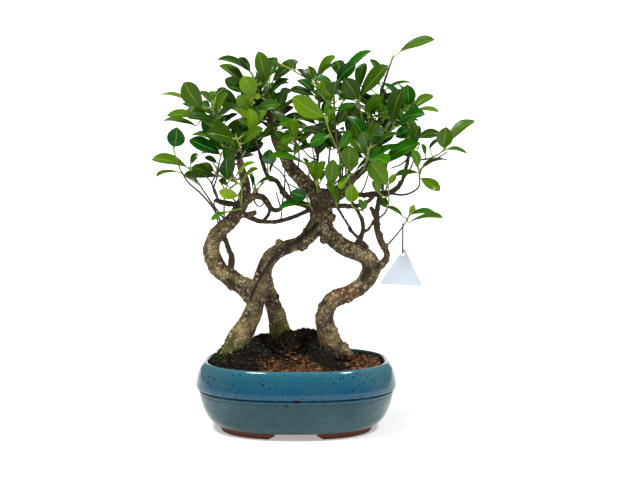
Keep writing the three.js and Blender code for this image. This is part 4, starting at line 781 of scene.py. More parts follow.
def make_bark():
    """Smooth living bark: a dull satin with raised pale dashes, and hollows between them darkened, partly
    as dark fissures and partly as painted shade.
    """
    bark, shader, place = new_finish("banyan_bark")
    grain = add(bark, "Attribute", attribute_name="grain").outputs["Vector"]
    age = add(bark, "SeparateXYZ", {0: add(bark, "Attribute", attribute_name="age").outputs["Vector"]})
    # X is young wood and the crown's darkening, and also painted shade on the under side of limbs.
    thin = age.outputs["X"]
    slow = add(bark, "TexNoise", {"Vector": place, "Scale": per_metre(BARK_PATCH), "Detail": 5,
                                  "Roughness": 0.6})
    base = add(bark, "ValToRGB", {0: slow},
               [(0.3, "#1c140b"), (0.43, "#443622"), (0.57, "#86744e"), (0.68, "#b09a6e")])
    scaled = add(bark, "Mapping", {"Vector": grain, "Scale": (0.55, 0.55, 1.5)})
    fine = add(bark, "TexNoise", {"Vector": scaled, "Scale": per_metre(BARK_GRAIN), "Detail": 6,
                                  "Roughness": 0.7})
    # The hollows of the bark's relief are darkened: partly dark fissures, partly painted shade.
    crack_and_shade = add(bark, "MapRange", {"Value": fine, "From Min": 0.38, "From Max": 0.56, "To Min": 0.9,
                                   "To Max": 0})
    algae = add(bark, "TexNoise", {"Vector": place, "Scale": per_metre(ALGAE_PATCH), "Detail": 6})
    green = add(bark, "Math", {0: algae, 1: age.outputs["Y"]}, operation="MULTIPLY")
    green = add(bark, "MapRange", {"Value": green, "From Min": 0.1, "From Max": 0.42, "To Max": 0.85})
    away = add(bark, "VectorMath", {0: place, 1: TO_FRAME @ at(*RUSTY)}, operation="DISTANCE")
    rusty = add(bark, "MapRange", {"Value": away.outputs["Value"], "From Min": RUSTY_REACH * MM,
                                   "From Max": 0.4 * RUSTY_REACH * MM})
    rusty = add(bark, "Math", {0: rusty, 1: slow}, operation="MULTIPLY")
    large, small = [lenticels(bark, grain, *lenticel) for lenticel in LENTICELS]
    lenticel = add(bark, "Math", {0: large, 1: small}, operation="MAXIMUM")
    faded = add(bark, "MapRange", {"Value": thin, "From Min": 0.74, "From Max": 0.95, "To Min": 0.85,
                                   "To Max": 0.15})
    patches = add(bark, "TexNoise", {"Vector": place, "Scale": per_metre(LENTICEL_PATCH), "Detail": 2})
    patchy = add(bark, "MapRange", {"Value": patches, "From Min": 0.4, "From Max": 0.6, "To Min": 0.6})
    faded = add(bark, "Math", {0: patchy, 1: faded}, operation="MULTIPLY")
    shown = add(bark, "Math", {0: lenticel, 1: faded}, operation="MULTIPLY")
    ragged = add(bark, "MapRange", {"Value": fine, "From Min": 0.35, "From Max": 0.6, "To Min": 1,
                                    "To Max": 0.85})
    scar = add(bark, "Math", {0: ragged, 1: age.outputs["Z"]}, operation="MULTIPLY")
    colour = painted(bark, base, (crack_and_shade, "#1f170e"), (thin, "#3b2f21"), (green, "#5d6222"),
                     (rusty, "#7c5535"), (shown, "#d8caa0"), (scar, "#1c150d"))
    relief = add(bark, "Math", {0: lenticel, 1: 0.5, 2: fine}, operation="MULTIPLY_ADD")
    bump = add(bark, "Bump", {"Height": relief, "Strength": 0.9, "Distance": BARK_DEPTH * MM})
    feed(bark, shader, {"Base Color": colour, "Normal": bump, "Roughness": 0.75,
                        "Specular IOR Level": 0.25})
    return bark


BARK = make_bark()
print("bark:", len(BARK.node_tree.nodes), "nodes")

# %% The grain that bark follows
SCARS = [(at(102, 223, -13), 9), (at(112, 228, -9), 7), (at(92, 230, -11), 6), (at(96, 213, -12), 6),
         (at(68, 262, -10), 3), (at(31, 276, -12), 5), (at(-96, 210, -10), 4)]
SCAR_EDGE = 1.4
ROOT_SCAR = 0.7  # the clinging root is this dark all over
MOSSY_FEET = [(at(-104, 104, -26), 44), (at(-20, 124, 24), 46)]
NEIGHBOURS = 36  # rings looked at, enough to reach past the thin limbs beside a thick one
YOUNG_RADIUS, YOUNG_SPAN = 6.6, 2.4  # wood is young under this radius, wholly so a span further
CROWN_FOOT, CROWN_SPAN = 272, 60  # above this height wood darkens, over this span
APART = 97  # from one limb's pattern to the next

RINGS = [(number, name, i) for number, name in enumerate(WOOD) for i in range(len(WOOD[name][0]))]
RING_TREE = kdtree.KDTree(len(RINGS))
for index, (_, name, i) in enumerate(RINGS):
    RING_TREE.insert(WOOD[name][0][i], index)
RING_TREE.balance()
print("rings of the limbs:", len(RINGS))
FRAMES = {name: frames_along(route) for name, (route, _) in WOOD.items()}


def within(value, low=0, high=1):
    """A value held between two limits."""
    return min(max(value, low), high)


def nearest_limb(place):
    """The limb's number, its name and the ring to which a corner of the wood belongs."""
    found = RING_TREE.find_n(place, NEIGHBOURS)
    index = min(found, key=lambda hit: hit[2] - WOOD[RINGS[hit[1]][1]][1][RINGS[hit[1]][2]])[1]
    return RINGS[index]


def grain_and_age(place):
    """Place on the unrolled limb in metres, and (young wood, green tinge, dark scar) from 0 to 1."""
    number, name, i = nearest_limb(place)
    route, radii = WOOD[name]
    side, other = FRAMES[name][i]
    out = place - route[i]
    ahead = side.cross(other)
    grain = Vector((out.dot(side), out.dot(other), RING_STEP * i + out.dot(ahead) + APART * number))
    old = name.startswith(("knot", "stub_left"))
    thin = 0 if old else within((YOUNG_RADIUS - radii[i]) / YOUNG_SPAN)
    high = within((place.z - CROWN_FOOT) / CROWN_SPAN, high=0.5)
    green = max(max(1 - (place - foot).length / reach, 0) for foot, reach in MOSSY_FEET)
    scar = max(within(SCAR_EDGE - (place - spot).length / size) for spot, size in SCARS)
    if name == "clinging_root":
        scar = ROOT_SCAR
    return grain * MM, Vector((max(thin, high), green ** 0.6, scar))


# %% The trunk
SKIN = 1.35  # size of the remesh's voxels
THICK_SIDES, THIN_SIDES = 22, 12
UNDERSIDE_SHADE = 0.85  # the under side of a limb is drawn darker: painted shade
LUMPS = [(1.1, 17), (0.6, 6)]  # height and size of the bark's lumps
BURR_HEIGHT, BURR_SIZE, BURR_RARITY = 5, 7.5, 0.33
WRINKLE, WRINKLE_WIDE, WRINKLE_LONG = 0.5, 7, 2.4
FLUTE, FLUTE_WIDE, FLUTE_LONG = 2.4, 9, 60  # ridges that run down into the roots
FLUTE_FOOT = 96


def bark_relief(place, grain):
    """How far bark stands out of the drawn limb, in millimetres."""
    relief = 0
    for height, size in LUMPS:
        relief += height * noise.noise(place / size)
    burr = noise.noise(place / BURR_SIZE + Vector((50, 0, 0)))
    relief += BURR_HEIGHT * max(0, burr - BURR_RARITY)
    relief += WRINKLE * noise.noise(Vector((grain.x / WRINKLE_WIDE, grain.y / WRINKLE_WIDE,
                                            grain.z / WRINKLE_LONG)))
    low = max(0, 1 - (place.z - FLUTE_FOOT) / FLUTE_LONG)
    flutes = Vector((place.x / FLUTE_WIDE, place.y / FLUTE_WIDE, place.z / FLUTE_LONG))
    return relief + FLUTE * low * noise.noise(flutes)


def make_trunk():
    thick, fine = bmesh.new(), bmesh.new()
    for name, (route, radii) in WOOD.items():
        if LIMBS[name][0][3] > THICK_LIMB:
            rod(thick, route, radii, THICK_SIDES)
        else:
            rod(fine, route, radii, THIN_SIDES)
    bmesh.ops.recalc_face_normals(thick, faces=thick.faces)
    bmesh.ops.recalc_face_normals(fine, faces=fine.faces)
    helper = into_scene("thick_limbs", mesh_of("thick_limbs", thick))
    skin = helper.modifiers.new("skin", "REMESH")
    skin.mode = "VOXEL"
    skin.voxel_size = SKIN
    fine.from_mesh(settled(helper))
    fine.normal_update()
    grain_layer, age_layer = (fine.verts.layers.float_vector.new(name) for name in ("grain", "age"))
    for corner in fine.verts:
        grain, age = grain_and_age(corner.co)
        # Painted shade: the under side of a limb takes the dark colour of young wood.
        age.x = max(age.x, UNDERSIDE_SHADE * -corner.normal.z)
        corner[grain_layer] = grain
        corner[age_layer] = age
        corner.co = corner.co + corner.normal * bark_relief(corner.co, grain / MM)
    finish_piece("wood_with_bark", fine, [BARK], ["trunk"], sharp=80)


make_trunk()

# %% [markdown]
# ## Leaves
# A leaf of this fig is a thick glossy blade, widest past its middle, folded a little along a pale
# midrib, on a short stalk. Young blades are yellow-green, old ones dark. The under side is pale
# and dull. The blade carries two attributes: its place across and along with the side it is on,
# and its age with a chance value, from which the material draws midrib, veins and colour.

# %% Leaf and shoot finishes
LEAF_CLOUD, SHOOT_GRAIN = 16.6667, 2.38095
VEIN_DEPTH, SHOOT_RELIEF = 0.4, 0.4
VEIN_SLANT = -0.22
VEINS = 13  # half as many veins on each side as this


def make_leaf_finish():
    """A blade under wax: deep green with a soft sheen above, pale and dull beneath."""
    leaf, shader, place = new_finish("fig_leaf_with_wax")
    blade, growth = [
        add(leaf, "SeparateXYZ", {0: add(leaf, "Attribute", attribute_name=name).outputs["Vector"]})
        for name in ("blade", "growth")]
    turned = blade.outputs["Z"]
    clouds = add(leaf, "TexNoise", {"Vector": place, "Scale": per_metre(LEAF_CLOUD), "Detail": 4})
    shift = add(leaf, "Math", {0: clouds, 1: 0.16, 2: -0.08}, operation="MULTIPLY_ADD")
    age = add(leaf, "Math", {0: growth.outputs["X"], 1: shift}, operation="ADD")
    olive = add(leaf, "ValToRGB", {0: age}, [(0, "#8fae12"), (0.25, "#668c0a"), (0.5, "#466b08"),
                                             (0.72, "#304f08"), (1, "#102706")])
    deep = add(leaf, "ValToRGB", {0: age}, [(0, "#7fa508"), (0.25, "#4a8002"), (0.5, "#296b02"),
                                            (0.72, "#0f5404"), (1, "#043208")])
    under = add(leaf, "ValToRGB", {0: age}, [(0, "#8aa434"), (0.5, "#567526"), (1, "#3a5a24")])
    kind = add(leaf, "MapRange", {"Value": growth.outputs["Y"], "From Min": 0.35, "From Max": 0.95})
    across = add(leaf, "Math", {0: blade.outputs["X"]}, operation="ABSOLUTE")
    rib = add(leaf, "MapRange", {"Value": across, "From Min": 0.015, "From Max": 0.065, "To Min": 0.5,
                                 "To Max": 0})
    slant = add(leaf, "Math", {0: across, 1: VEIN_SLANT, 2: blade.outputs["Y"]},
                operation="MULTIPLY_ADD")
    comb = add(leaf, "Math", {0: slant, 1: VEINS}, operation="MULTIPLY")
    ripple = add(leaf, "Math", {0: comb, 1: 1}, operation="PINGPONG")
    vein = add(leaf, "MapRange", {"Value": ripple, "From Min": 0.03, "From Max": 0.2, "To Min": 0.06,
                                  "To Max": 0})
    lines = add(leaf, "Math", {0: rib, 1: vein}, operation="MAXIMUM")
    pale = painted(leaf, linear("#9fbb4c"), (turned, "#b9cc86"))
    colour = painted(leaf, olive, (kind, deep), (turned, under), (lines, pale))
    rough = add(leaf, "MapRange", {"Value": turned, "To Min": 0.25, "To Max": 0.55})
    bump = add(leaf, "Bump", {"Height": lines, "Strength": 0.35, "Distance": -VEIN_DEPTH * MM})
    feed(leaf, shader, {"Base Color": colour, "Roughness": rough, "Normal": bump,
                        "Specular IOR Level": 0.15})
    return leaf


def make_shoot_finish():
    """Green skin that turns to thin brown bark with age, with a low satin shine."""
    shoot, shader, place = new_finish("young_shoot")
    growth = add(shoot, "SeparateXYZ",
                 {0: add(shoot, "Attribute", attribute_name="growth").outputs["Vector"]})
    spots = add(shoot, "TexNoise", {"Vector": place, "Scale": per_metre(SHOOT_GRAIN), "Detail": 4})
    ripe = add(shoot, "Math", {0: spots, 1: 0.3, 2: growth}, operation="MULTIPLY_ADD")
    colour = add(shoot, "ValToRGB", {0: ripe},
                 [(0.15, "#93ae3c"), (0.45, "#71802f"), (0.7, "#5b4a2c"), (1, "#35271b")])
    bump = add(shoot, "Bump", {"Height": spots, "Strength": 0.5, "Distance": SHOOT_RELIEF * MM})
    feed(shoot, shader, {"Base Color": colour, "Normal": bump, "Roughness": 0.55})
    return shoot


LEAF = make_leaf_finish()
SHOOT = make_shoot_finish()
print("leaf and shoot:", [len(finish.node_tree.nodes) for finish in (LEAF, SHOOT)], "nodes")

# %% [markdown]
# ## Finding the leaves in the frame
# The CAD sprays already hold every leaf, as a plain faceted blade 0.8 mm thick. Its rim is a ring of
# short edges as long as that thickness. A tip is such an edge with two neighbours that are
# also neighbours of each other: the ends of the blade's outer row. From tip and row follow the
# normal, the axis, the length and the width.

# %% Leaves of a CAD spray
CAD_THICKNESS, CAD_SLACK = 0.8, 0.004
CAD_MERGE = 1e-3
CAD_ROW = 0.73  # place of the outer row along the blade
CAD_SHARE = 0.84  # its half width over the blade's
LEAF_LENGTHS = (7, 80)
UNEVEN = 0.3  # the tip is as far from both ends of the row, but for this


def rim_posts(bm):
    """The short edges through a blade, and for each of them its neighbours."""
    posts = [e for e in bm.edges if abs(e.calc_length() - CAD_THICKNESS) < CAD_SLACK]
    owner = {corner: number for number, post in enumerate(posts) for corner in post.verts}
    near = []
    for number, post in enumerate(posts):
        others = {owner.get(e.other_vert(c)) for c in post.verts for e in c.link_edges}
        near.append(others - {None, number})
    return posts, near


def leaves_in(node):
    """Every leaf of a CAD spray: its base, tip, normal and width, in millimetres."""
    bm = bmesh.new()
    bm.from_mesh(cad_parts[node].data)
    bm.transform(TO_MILLIMETRES)
    bmesh.ops.remove_doubles(bm, verts=bm.verts, dist=CAD_MERGE)
    posts, near = rim_posts(bm)
    middles = [(post.verts[0].co + post.verts[1].co) / 2 for post in posts]
    leaves = []
    for number, others in enumerate(near):
        if len(others) != 2:
            continue
        left, right = others
        if right not in near[left]:
            continue
        row = (middles[left] + middles[right]) / 2
        back = row - middles[number]
        normal = (posts[number].verts[0].co - posts[number].verts[1].co).normalized()
        if back.dot(normal) < 0:
            normal.negate()
        run = normal * back.dot(normal) - back
        length = run.length / (1 - CAD_ROW)
        from_left, from_right = ((middles[end] - middles[number]).length for end in (left, right))
        shortest, longest = LEAF_LENGTHS
        if shortest < length < longest and abs(from_left - from_right) < UNEVEN:
            tip = middles[number].copy()
            width = (middles[left] - middles[right]).length / CAD_SHARE
            leaves.append((tip - run.normalized() * length, tip, normal, width))
    bm.free()
    return leaves


# %% [markdown]
# ## A leafy shoot
# The twig's route is repeated from the part's source. It tapers, swells a little where
# a leaf stands and ends in the pointed bud of a fig. Each blade is a grid bent to the
# leaf's shape, and all the blades of a shoot get their thickness together.

# %% Twig routes
TWIGS = {
    "left_outer": [[(-108, 288, -14), (-116, 310, -18), (-134, 332, -20), (-151, 347, -20),
                    (-161, 362, -20), (-167, 376, -20), (-172, 393, -20)]],
    "left_outer_low": [[(-96, 290, -6), (-107, 303, 5), (-117, 316, 5), (-131, 337, 4),
                        (-141, 353, 2), (-149, 366, 0)]],
    "left_low": [[(-110, 323, -14), (-114, 336, -20), (-119, 347, -22), (-114, 358, -26),
                  (-109, 374, -28), (-106, 386, -30)]],
    "left_shaded": [[(-72, 342, 0), (-83, 348, -16), (-93, 351, -28)], [(-84, 348, -18), (-92, 341, -28)]],
    "left_young": [[(-76, 308, -6), (-78, 318, -20), (-81, 328, -27)],
                   [(-78, 318, -20), (-77, 334, -24), (-78, 344, -28)], [(-77, 312, -16), (-94, 308, -22)]],
    "left_tip_upper": [[(-84, 400, 9), (-96, 412, -4), (-106, 428, -14), (-112, 442, -20),
                        (-117, 452, -24)]],
    "left_tip_front": [[(-82, 391, 8), (-92, 396, -16), (-102, 400, -34)]],
    "left_tip_rear": [[(-85, 408, 9), (-104, 420, 14), (-122, 430, 14), (-134, 436, 12)],
                      [(-122, 430, 14), (-141, 452, 17)]],
    "left_bright": [[(-55, 400, -2), (-58, 415, -14), (-61, 432, -24), (-62, 450, -32),
                     (-61, 464, -36)]],
    "left_top": [[(-37, 449, 20), (-40, 464, 10), (-40, 483, 0)]],
    "left_top_rear": [[(-36, 438, 20), (-46, 460, 24), (-55, 482, 24), (-60, 497, 22)]],
    "left_dark": [[(-35, 432, 20), (-30, 438, 2), (-27, 446, -8)],
                  [(-31, 437, 6), (-25, 450, 4), (-24, 460, 6)]],
    "left_back_high": [[(-83, 396, 8), (-94, 406, 34), (-103, 424, 56), (-107, 440, 70)]],
    "left_back_low": [[(-78, 373, 6), (-90, 376, 34), (-98, 386, 58), (-106, 400, 76)]],
    "left_back_top": [[(-35, 428, 20), (-47, 444, 46), (-57, 464, 62), (-64, 478, 72)]],
    "left_back_inner": [[(-29, 408, 18), (-28, 424, 46), (-28, 446, 70)]],
    "left_front": [[(-79, 378, 6), (-76, 386, -24), (-80, 400, -46), (-84, 412, -60)]],
    "left_inner": [[(-80, 383, 7), (-74, 408, 24), (-74, 434, 34), (-80, 452, 42)]],
    "left_low_back": [[(-75, 357, 3), (-87, 352, 24), (-104, 356, 40), (-116, 364, 52)]],
    "left_round": [[(-42, 362, 8), (-40, 367, -6)]],
    "left_sickle": [[(-62, 328, -8), (-59, 340, -18)], [(-60, 335, -13), (-49, 345, -16)]],
    "middle_low": [[(26, 306, -4), (22, 311, -19), (18, 319, -27), (15, 326, -31)]],
    "middle_left": [[(-9, 372, 13), (-3, 384, -6), (-1, 400, -16), (-1, 418, -22), (-2, 436, -26)]],
    "middle_narrow": [[(13, 350, 6), (18, 360, -15), (17, 370, -26)]],
    "middle_pair": [[(32, 328, -4), (30, 338, -23), (29, 346, -29)]],
    "middle_front": [[(44, 310, -6), (57, 314, -25), (54, 328, -33), (50, 342, -39)]],
    "middle_bright": [[(80, 355, -5), (77, 360, -24)]],
    "right_long": [[(98, 370, 2), (108, 372, -20), (120, 374, -34)]],
    "right_olive": [[(115, 296, 3), (126, 306, -8), (131, 322, -18), (130, 341, -26)]],
    "right_under": [[(86, 310, -2), (80, 315, -14)], [(82, 313, -10), (92, 309, -18)]],
    "right_round": [[(118, 328, 6), (121, 330, -6)]],
    "tag_twig": [[(126, 256, 3), (133, 264, 0), (142, 274, -3), (151, 286, -5), (157, 296, -6),
                  (160, 302, -6)]],
    "right_low": [[(131, 334, 7), (146, 331, 0), (160, 333, -6), (173, 342, -10), (174, 356, -12),
                   (173, 367, -12)]],
    "right_far": [[(159, 388, 8), (172, 381, 2), (186, 382, -2), (198, 387, -4), (207, 393, -6)]],
    "right_tip": [[(162, 402, 8), (163, 420, 2), (163, 436, -4), (161, 448, -8)]],
    "right_shoot": [[(117, 430, 21), (118, 462, 22), (122, 484, 21), (129, 505, 20), (135, 523, 20)]],
    "right_high": [[(101, 375, 4), (97, 400, -8), (93, 432, -14), (88, 459, -22)]],
    "right_crown": [[(61, 340, -5), (62, 362, -28), (62, 382, -31), (58, 402, -31), (55, 425, -29),
                     (54, 448, -27), (53, 475, -25), (58, 486, -20)],
                    [(54, 450, -27), (44, 461, -33), (33, 475, -37), (20, 490, -37), (2, 502, -35),
                     (-19, 513, -31)]],
    "right_prominent": [[(70, 346, -6), (69, 372, -42), (56, 400, -54), (47, 420, -58), (42, 437, -60)]],
    "middle_high": [[(25, 336, 4), (29, 372, 12), (33, 410, 16), (33, 445, 14), (31, 480, 8)]],
    "right_middle": [[(108, 388, 10), (106, 406, -3), (102, 426, -8), (102, 440, -13)],
                     [(102, 428, -8), (119, 447, -2)]],
    "right_back_low": [[(90, 363, -2), (102, 382, 32), (110, 408, 56), (114, 426, 72)]],
    "right_back_middle": [[(75, 350, -6), (74, 370, 30), (72, 396, 54), (68, 416, 70)]],
    "right_back_high": [[(115, 417, 18), (125, 424, 40), (132, 438, 54), (136, 452, 66)]],
    "middle_back": [[(36, 326, 0), (30, 352, 36), (26, 380, 58), (22, 402, 72)]],
    "right_back_outer": [[(150, 352, 6), (160, 366, 30), (168, 386, 46), (173, 400, 56)]],
    "middle_back_high": [[(44, 322, 0), (46, 380, 40), (52, 426, 50), (54, 460, 50)]],
    "right_back_under": [[(115, 312, 4), (124, 324, 26), (136, 336, 42)]],
    "right_front": [[(87, 360, -4), (94, 366, -38), (100, 382, -58), (104, 398, -68)]],
    "right_front_high": [[(113, 405, 15), (124, 412, -6), (134, 424, -26), (140, 438, -38)]],
}

# %% How old and how green the leaves are
TONE = {  # how much older and darker, or younger and lighter, all the leaves of a shoot are drawn: partly their age, partly painted shade and light
    "left_bright": -0.2, "left_young": -0.3, "middle_bright": -0.22, "right_olive": -0.1,
    "tag_twig": -0.15, "left_tip_upper": 0.12, "left_tip_front": 0.28, "left_low": 0.3,
    "left_outer": 0.2, "left_dark": 0.25, "right_long": 0.3, "left_shaded": 0.3, "left_round": 0.25,
    "left_top_rear": 0.2, "left_top": 0.14, "left_tip_rear": 0.1, "right_far": 0.16,
    "right_crown": 0.14, "middle_high": 0.15, "right_under": 0.05, "right_prominent": 0.02,
    "middle_left": -0.02,
}
OLIVE, VIVID = 0.2, 0.95  # kinds of green that a leaf's chance value picks
# Single leaves, one by one: their age and kind of green; their darkness is partly age, partly painted shade
# and light.
LOOKS = {
    "left_outer": {0: (0.8, VIVID)}, "left_low": {2: (0.78, VIVID)},
    "left_tip_front": {1: (0.6, OLIVE), 2: (0.95, VIVID)},
    "left_front": {0: (0.62, OLIVE), 1: (0.5, OLIVE), 2: (0.74, OLIVE)},
    "left_tip_upper": {0: (0.48, OLIVE), 2: (0.6, OLIVE), 4: (0.45, OLIVE)},
    "left_tip_rear": {1: (0.35, OLIVE)}, "left_young": {0: (0.35, VIVID), 3: (0.15, OLIVE)},
    "left_bright": {1: (0.42, OLIVE), 2: (0.3, OLIVE), 4: (0.28, OLIVE)},
    "left_top": {0: (0.56, OLIVE), 1: (0.6, VIVID), 3: (0.8, OLIVE)},
    "left_top_rear": {1: (0.6, OLIVE), 2: (0.82, OLIVE)}, "left_low_back": {0: (0.8, VIVID)},
    "left_round": {0: (0.8, VIVID)}, "middle_narrow": {0: (0.36, VIVID)},
    "middle_low": {0: (0.58, VIVID), 1: (0.85, VIVID)}, "middle_high": {3: (0.45, OLIVE)},
    "middle_pair": {0: (0.4, OLIVE), 1: (0.42, OLIVE)}, "middle_front": {1: (0.5, OLIVE)},
    "middle_bright": {1: (0.4, OLIVE), 3: (0.6, VIVID)}, "right_prominent": {0: (0.36, OLIVE)},
    "right_crown": {2: (0.85, VIVID), 4: (0.62, VIVID)},
    "right_high": {0: (0.76, OLIVE), 3: (0.68, OLIVE)},
    "right_front_high": {1: (0.76, OLIVE)}, "right_long": {2: (0.58, VIVID)},
    "right_tip": {0: (0.6, VIVID), 4: (0.8, VIVID), 5: (0.45, OLIVE), 7: (0.55, OLIVE)},
    "right_olive": {0: (0.43, OLIVE)}, "right_front": {0: (0.8, VIVID), 2: (0.62, OLIVE)},
    "right_far": {1: (0.6, OLIVE), 4: (0.58, OLIVE)}, "right_low": {0: (0.42, OLIVE)},
    "tag_twig": {1: (0.08, OLIVE), 2: (0.45, OLIVE), 3: (0.42, VIVID)},
}

# %% Blades
BLADE_STEPS, BLADE_COLUMNS = 14, 6
FOLD, FOLD_CURVE = 0.25, 1.3
ARCH, ARCH_CURVE = 0.077, 0.7
FULLEST = (0.75, 1)
BLUNT, POINTED = 0.5, 0.85  # how a broad and a narrow blade run out at the tip
NARROW, BROAD = 0.36, 0.52  # width over length
SICKLE, CURL = 0.05, 0.06  # how far a blade bends aside and its tip droops, over its length
CURL_FROM = 0.7
DRIP_TIP = 0.035  # share of the length by which the tip is drawn out
BASE_HALF, TIP_HALF = 0.7, 0.05  # half widths at the two ends
RIPPLE, RIPPLE_TURNS = 0.03, 9
CREASE = 0.2


def half_width(v, fullest, point):
    """Half the blade's width over its largest, at v from base to tip. It is widest past the middle."""
    peak = fullest / (fullest + point)
    return (v / peak) ** fullest * ((1 - v) / (1 - peak)) ** point


def blade(bm, layers, leaf, age, kind, dice):
    """Bends a grid to a leaf. Gives its faces."""
    base, tip, normal, width = leaf
    axis = tip - base
    length = axis.length
    axis.normalize()
    side = axis.cross(normal)
    fullest = dice.uniform(*FULLEST)
    slender = within((BROAD - width / length) / (BROAD - NARROW))
    point = BLUNT + (POINTED - BLUNT) * slender
    sickle = dice.uniform(-SICKLE, SICKLE) * length
    curl = dice.uniform(0, CURL) * length
    waves = dice.uniform(0, math.tau)
    chance = dice.random()
    if kind is not None:
        chance = kind
    made = bmesh.ops.create_grid(bm, x_segments=BLADE_COLUMNS, y_segments=BLADE_STEPS,
                                 size=0.5)["verts"]
    for corner in made:
        s, v = corner.co.x * 2, corner.co.y + 0.5
        inside = 0 < v < 1
        v = (v + 0.5 - 0.5 * math.cos(math.pi * v)) / 2 if inside else round(v)
        half = BASE_HALF if v == 0 else TIP_HALF
        if inside:
            half = width / 2 * half_width(v, fullest, point)
        reach = v + DRIP_TIP * max(0, (v - 0.9) / 0.1) ** 2 - DRIP_TIP * max(0, v - 0.5)
        lift = ARCH * length * (4 * v * (1 - v)) ** ARCH_CURVE
        lift -= curl * max(0, (v - CURL_FROM) / (1 - CURL_FROM)) ** 2
        lift += FOLD * half * abs(s) ** FOLD_CURVE
        lift += RIPPLE * half * math.sin(waves + RIPPLE_TURNS * v) * abs(s)
        if s == 0:
            lift -= CREASE
        across = s * half + sickle * math.sin(math.pi * v)
        corner.co = base + axis * (reach * length) + side * across + normal * lift
        corner[layers[0]] = (s, v, 0)
        corner[layers[1]] = (age, chance, 0)
    return list({face for corner in made for face in corner.link_faces})


# %% Stalks, twigs and buds
STALK_RADII = [1.2, 1.05, 1, 0.45]
STALK_SAG, STALK_REACH, STALK_SINK = 0.8, 4, 0.6
STALK_STEP, TWIG_STEP = 3, 4
STALK_SIDES, TWIG_SIDES = 6, 8
TWIG_TAPER, THINNEST = 0.6, 0.95
JOINT_SWELL = 1.22
BUD = [(1.5, 1.15), (5, 0.75), (8, 0.12)]  # distance past the twig's end, and radius there
BUD_AGE = 0.08


def stalk(bm, layers, root, leaf, age):
    """The leaf's stalk, from inside the twig to under the midrib."""
    base, tip, normal, _ = leaf
    axis = (tip - base).normalized()
    middle = (root + base) / 2 - normal * STALK_SAG
    points = [root, middle, base, base + axis * STALK_REACH + normal * STALK_SINK]
    route, radii = smooth_route(points, STALK_RADII, STALK_STEP)
    for corner in rod(bm, route, radii, STALK_SIDES):
        corner[layers[1]] = (age, 0, 0)


def twig(bm, layers, points, thick, old, nodes):
    """A shoot with slight joints, and a pointed bud at its end."""
    tip = max(TWIG_TAPER * thick, THINNEST)
    taper = [thick + (tip - thick) * i / (len(points) - 1) for i in range(len(points))]
    route, radii = smooth_route(points, taper, TWIG_STEP)
    end = (route[-1] - route[-2]).normalized()
    for joint in nodes:
        place = min(range(len(route)), key=lambda i: (route[i] - joint).length)
        radii[place] *= JOINT_SWELL
    route += [route[-1] + end * past for past, _ in BUD]
    radii += [radius for _, radius in BUD]
    for corner, share in rod(bm, route, radii, TWIG_SIDES).items():
        corner[layers[1]] = (min(old * (1 - share), 1) + BUD_AGE * share, 0, 0)


# %% Inner leaves
BEHIND = 25  # a leaf further back than this is drawn older and darker: painted shade of the crown
INNER_STEP = 9
INNER_LENGTH, INNER_WIDTH, INNER_STALK = (24, 42), (0.4, 0.52), (5, 9)
INNER_DEEP, INNER_BACK, INNER_RISE = 0.7, 0.2, (0.1, 0.9)  # how its axis leans
INNER_NORMAL = [(-0.5, 0.5), (-1, 0.1), (0.2, 1)]
INNER_STRAY = 0.4
ROOM_TO_NEXT, ROOM_TO_WOOD = 12.5, 4
CROWN_REACH = 21  # a leaf shows at most this far from another, and half as far again from a third
LOW_CROWN = 380  # below this the branches show, and no inner leaf grows
CROWN_FADE = 90


def seen(place):
    """Where a place looks to be from the front: the reverse of at."""
    spread = -EYE.y / (place.y - EYE.y)
    return Vector((EYE.x + (place.x - EYE.x) * spread, EYE.z + (place.z - EYE.z) * spread))


def inner_leaf(joint, turn, dice):
    """A smaller leaf from a joint of a twig, turned about the twig and tilted back and up."""
    length = dice.uniform(*INNER_LENGTH)
    axis = Vector((math.cos(turn), INNER_DEEP * math.sin(turn) + INNER_BACK,
                   dice.uniform(*INNER_RISE))).normalized()
    normal = Vector([dice.uniform(*span) for span in INNER_NORMAL])
    normal = (normal - axis * normal.dot(axis)).normalized()
    base = joint + axis * dice.uniform(*INNER_STALK)
    return base, base + axis * length, normal, length * dice.uniform(*INNER_WIDTH)


def has_room(leaf, others, fronts):
    """Whether a leaf stays clear of its neighbours and of the wood, and inside the crown's outline."""
    middle = (leaf[0] + leaf[1]) / 2
    if middle.z < LOW_CROWN + CROWN_FADE * abs(leaf[2].x):
        return False
    if min((middle - other).length for other in others) < ROOM_TO_NEXT:
        return False
    for place in (middle, leaf[1]):
        _, ring, distance = RING_TREE.find(place)
        _, name, i = RINGS[ring]
        if distance < WOOD[name][1][i] + ROOM_TO_WOOD:
            return False
        near = sorted((seen(place) - front).length for front in fronts)
        if near[0] > CROWN_REACH or near[2] > CROWN_REACH * 1.5:
            return False
    return True


def grow_inner_leaves(dice):
    """The small shaded leaves that fill the crown between those of the CAD sprays."""
    others = [(leaf[0] + leaf[1]) / 2 for leaves in LEAVES.values() for leaf in leaves]
    fronts = [seen(other) for other in others]
    grown = {}
    for name, stems in TWIGS.items():
        grown[name] = []
        for stem in stems:
            joints, _ = smooth_route([at(*point) for point in stem], [0] * len(stem), INNER_STEP)
            for k, joint in enumerate(joints[1:]):
                turn = k * GOLDEN_ANGLE + dice.uniform(-INNER_STRAY, INNER_STRAY)
                leaf = inner_leaf(joint, turn, dice)
                if has_room(leaf, others, fronts):
                    grown[name].append(leaf)
                    others.append((leaf[0] + leaf[1]) / 2)
    print("inner leaves:", sum(len(leaves) for leaves in grown.values()))
    return grown


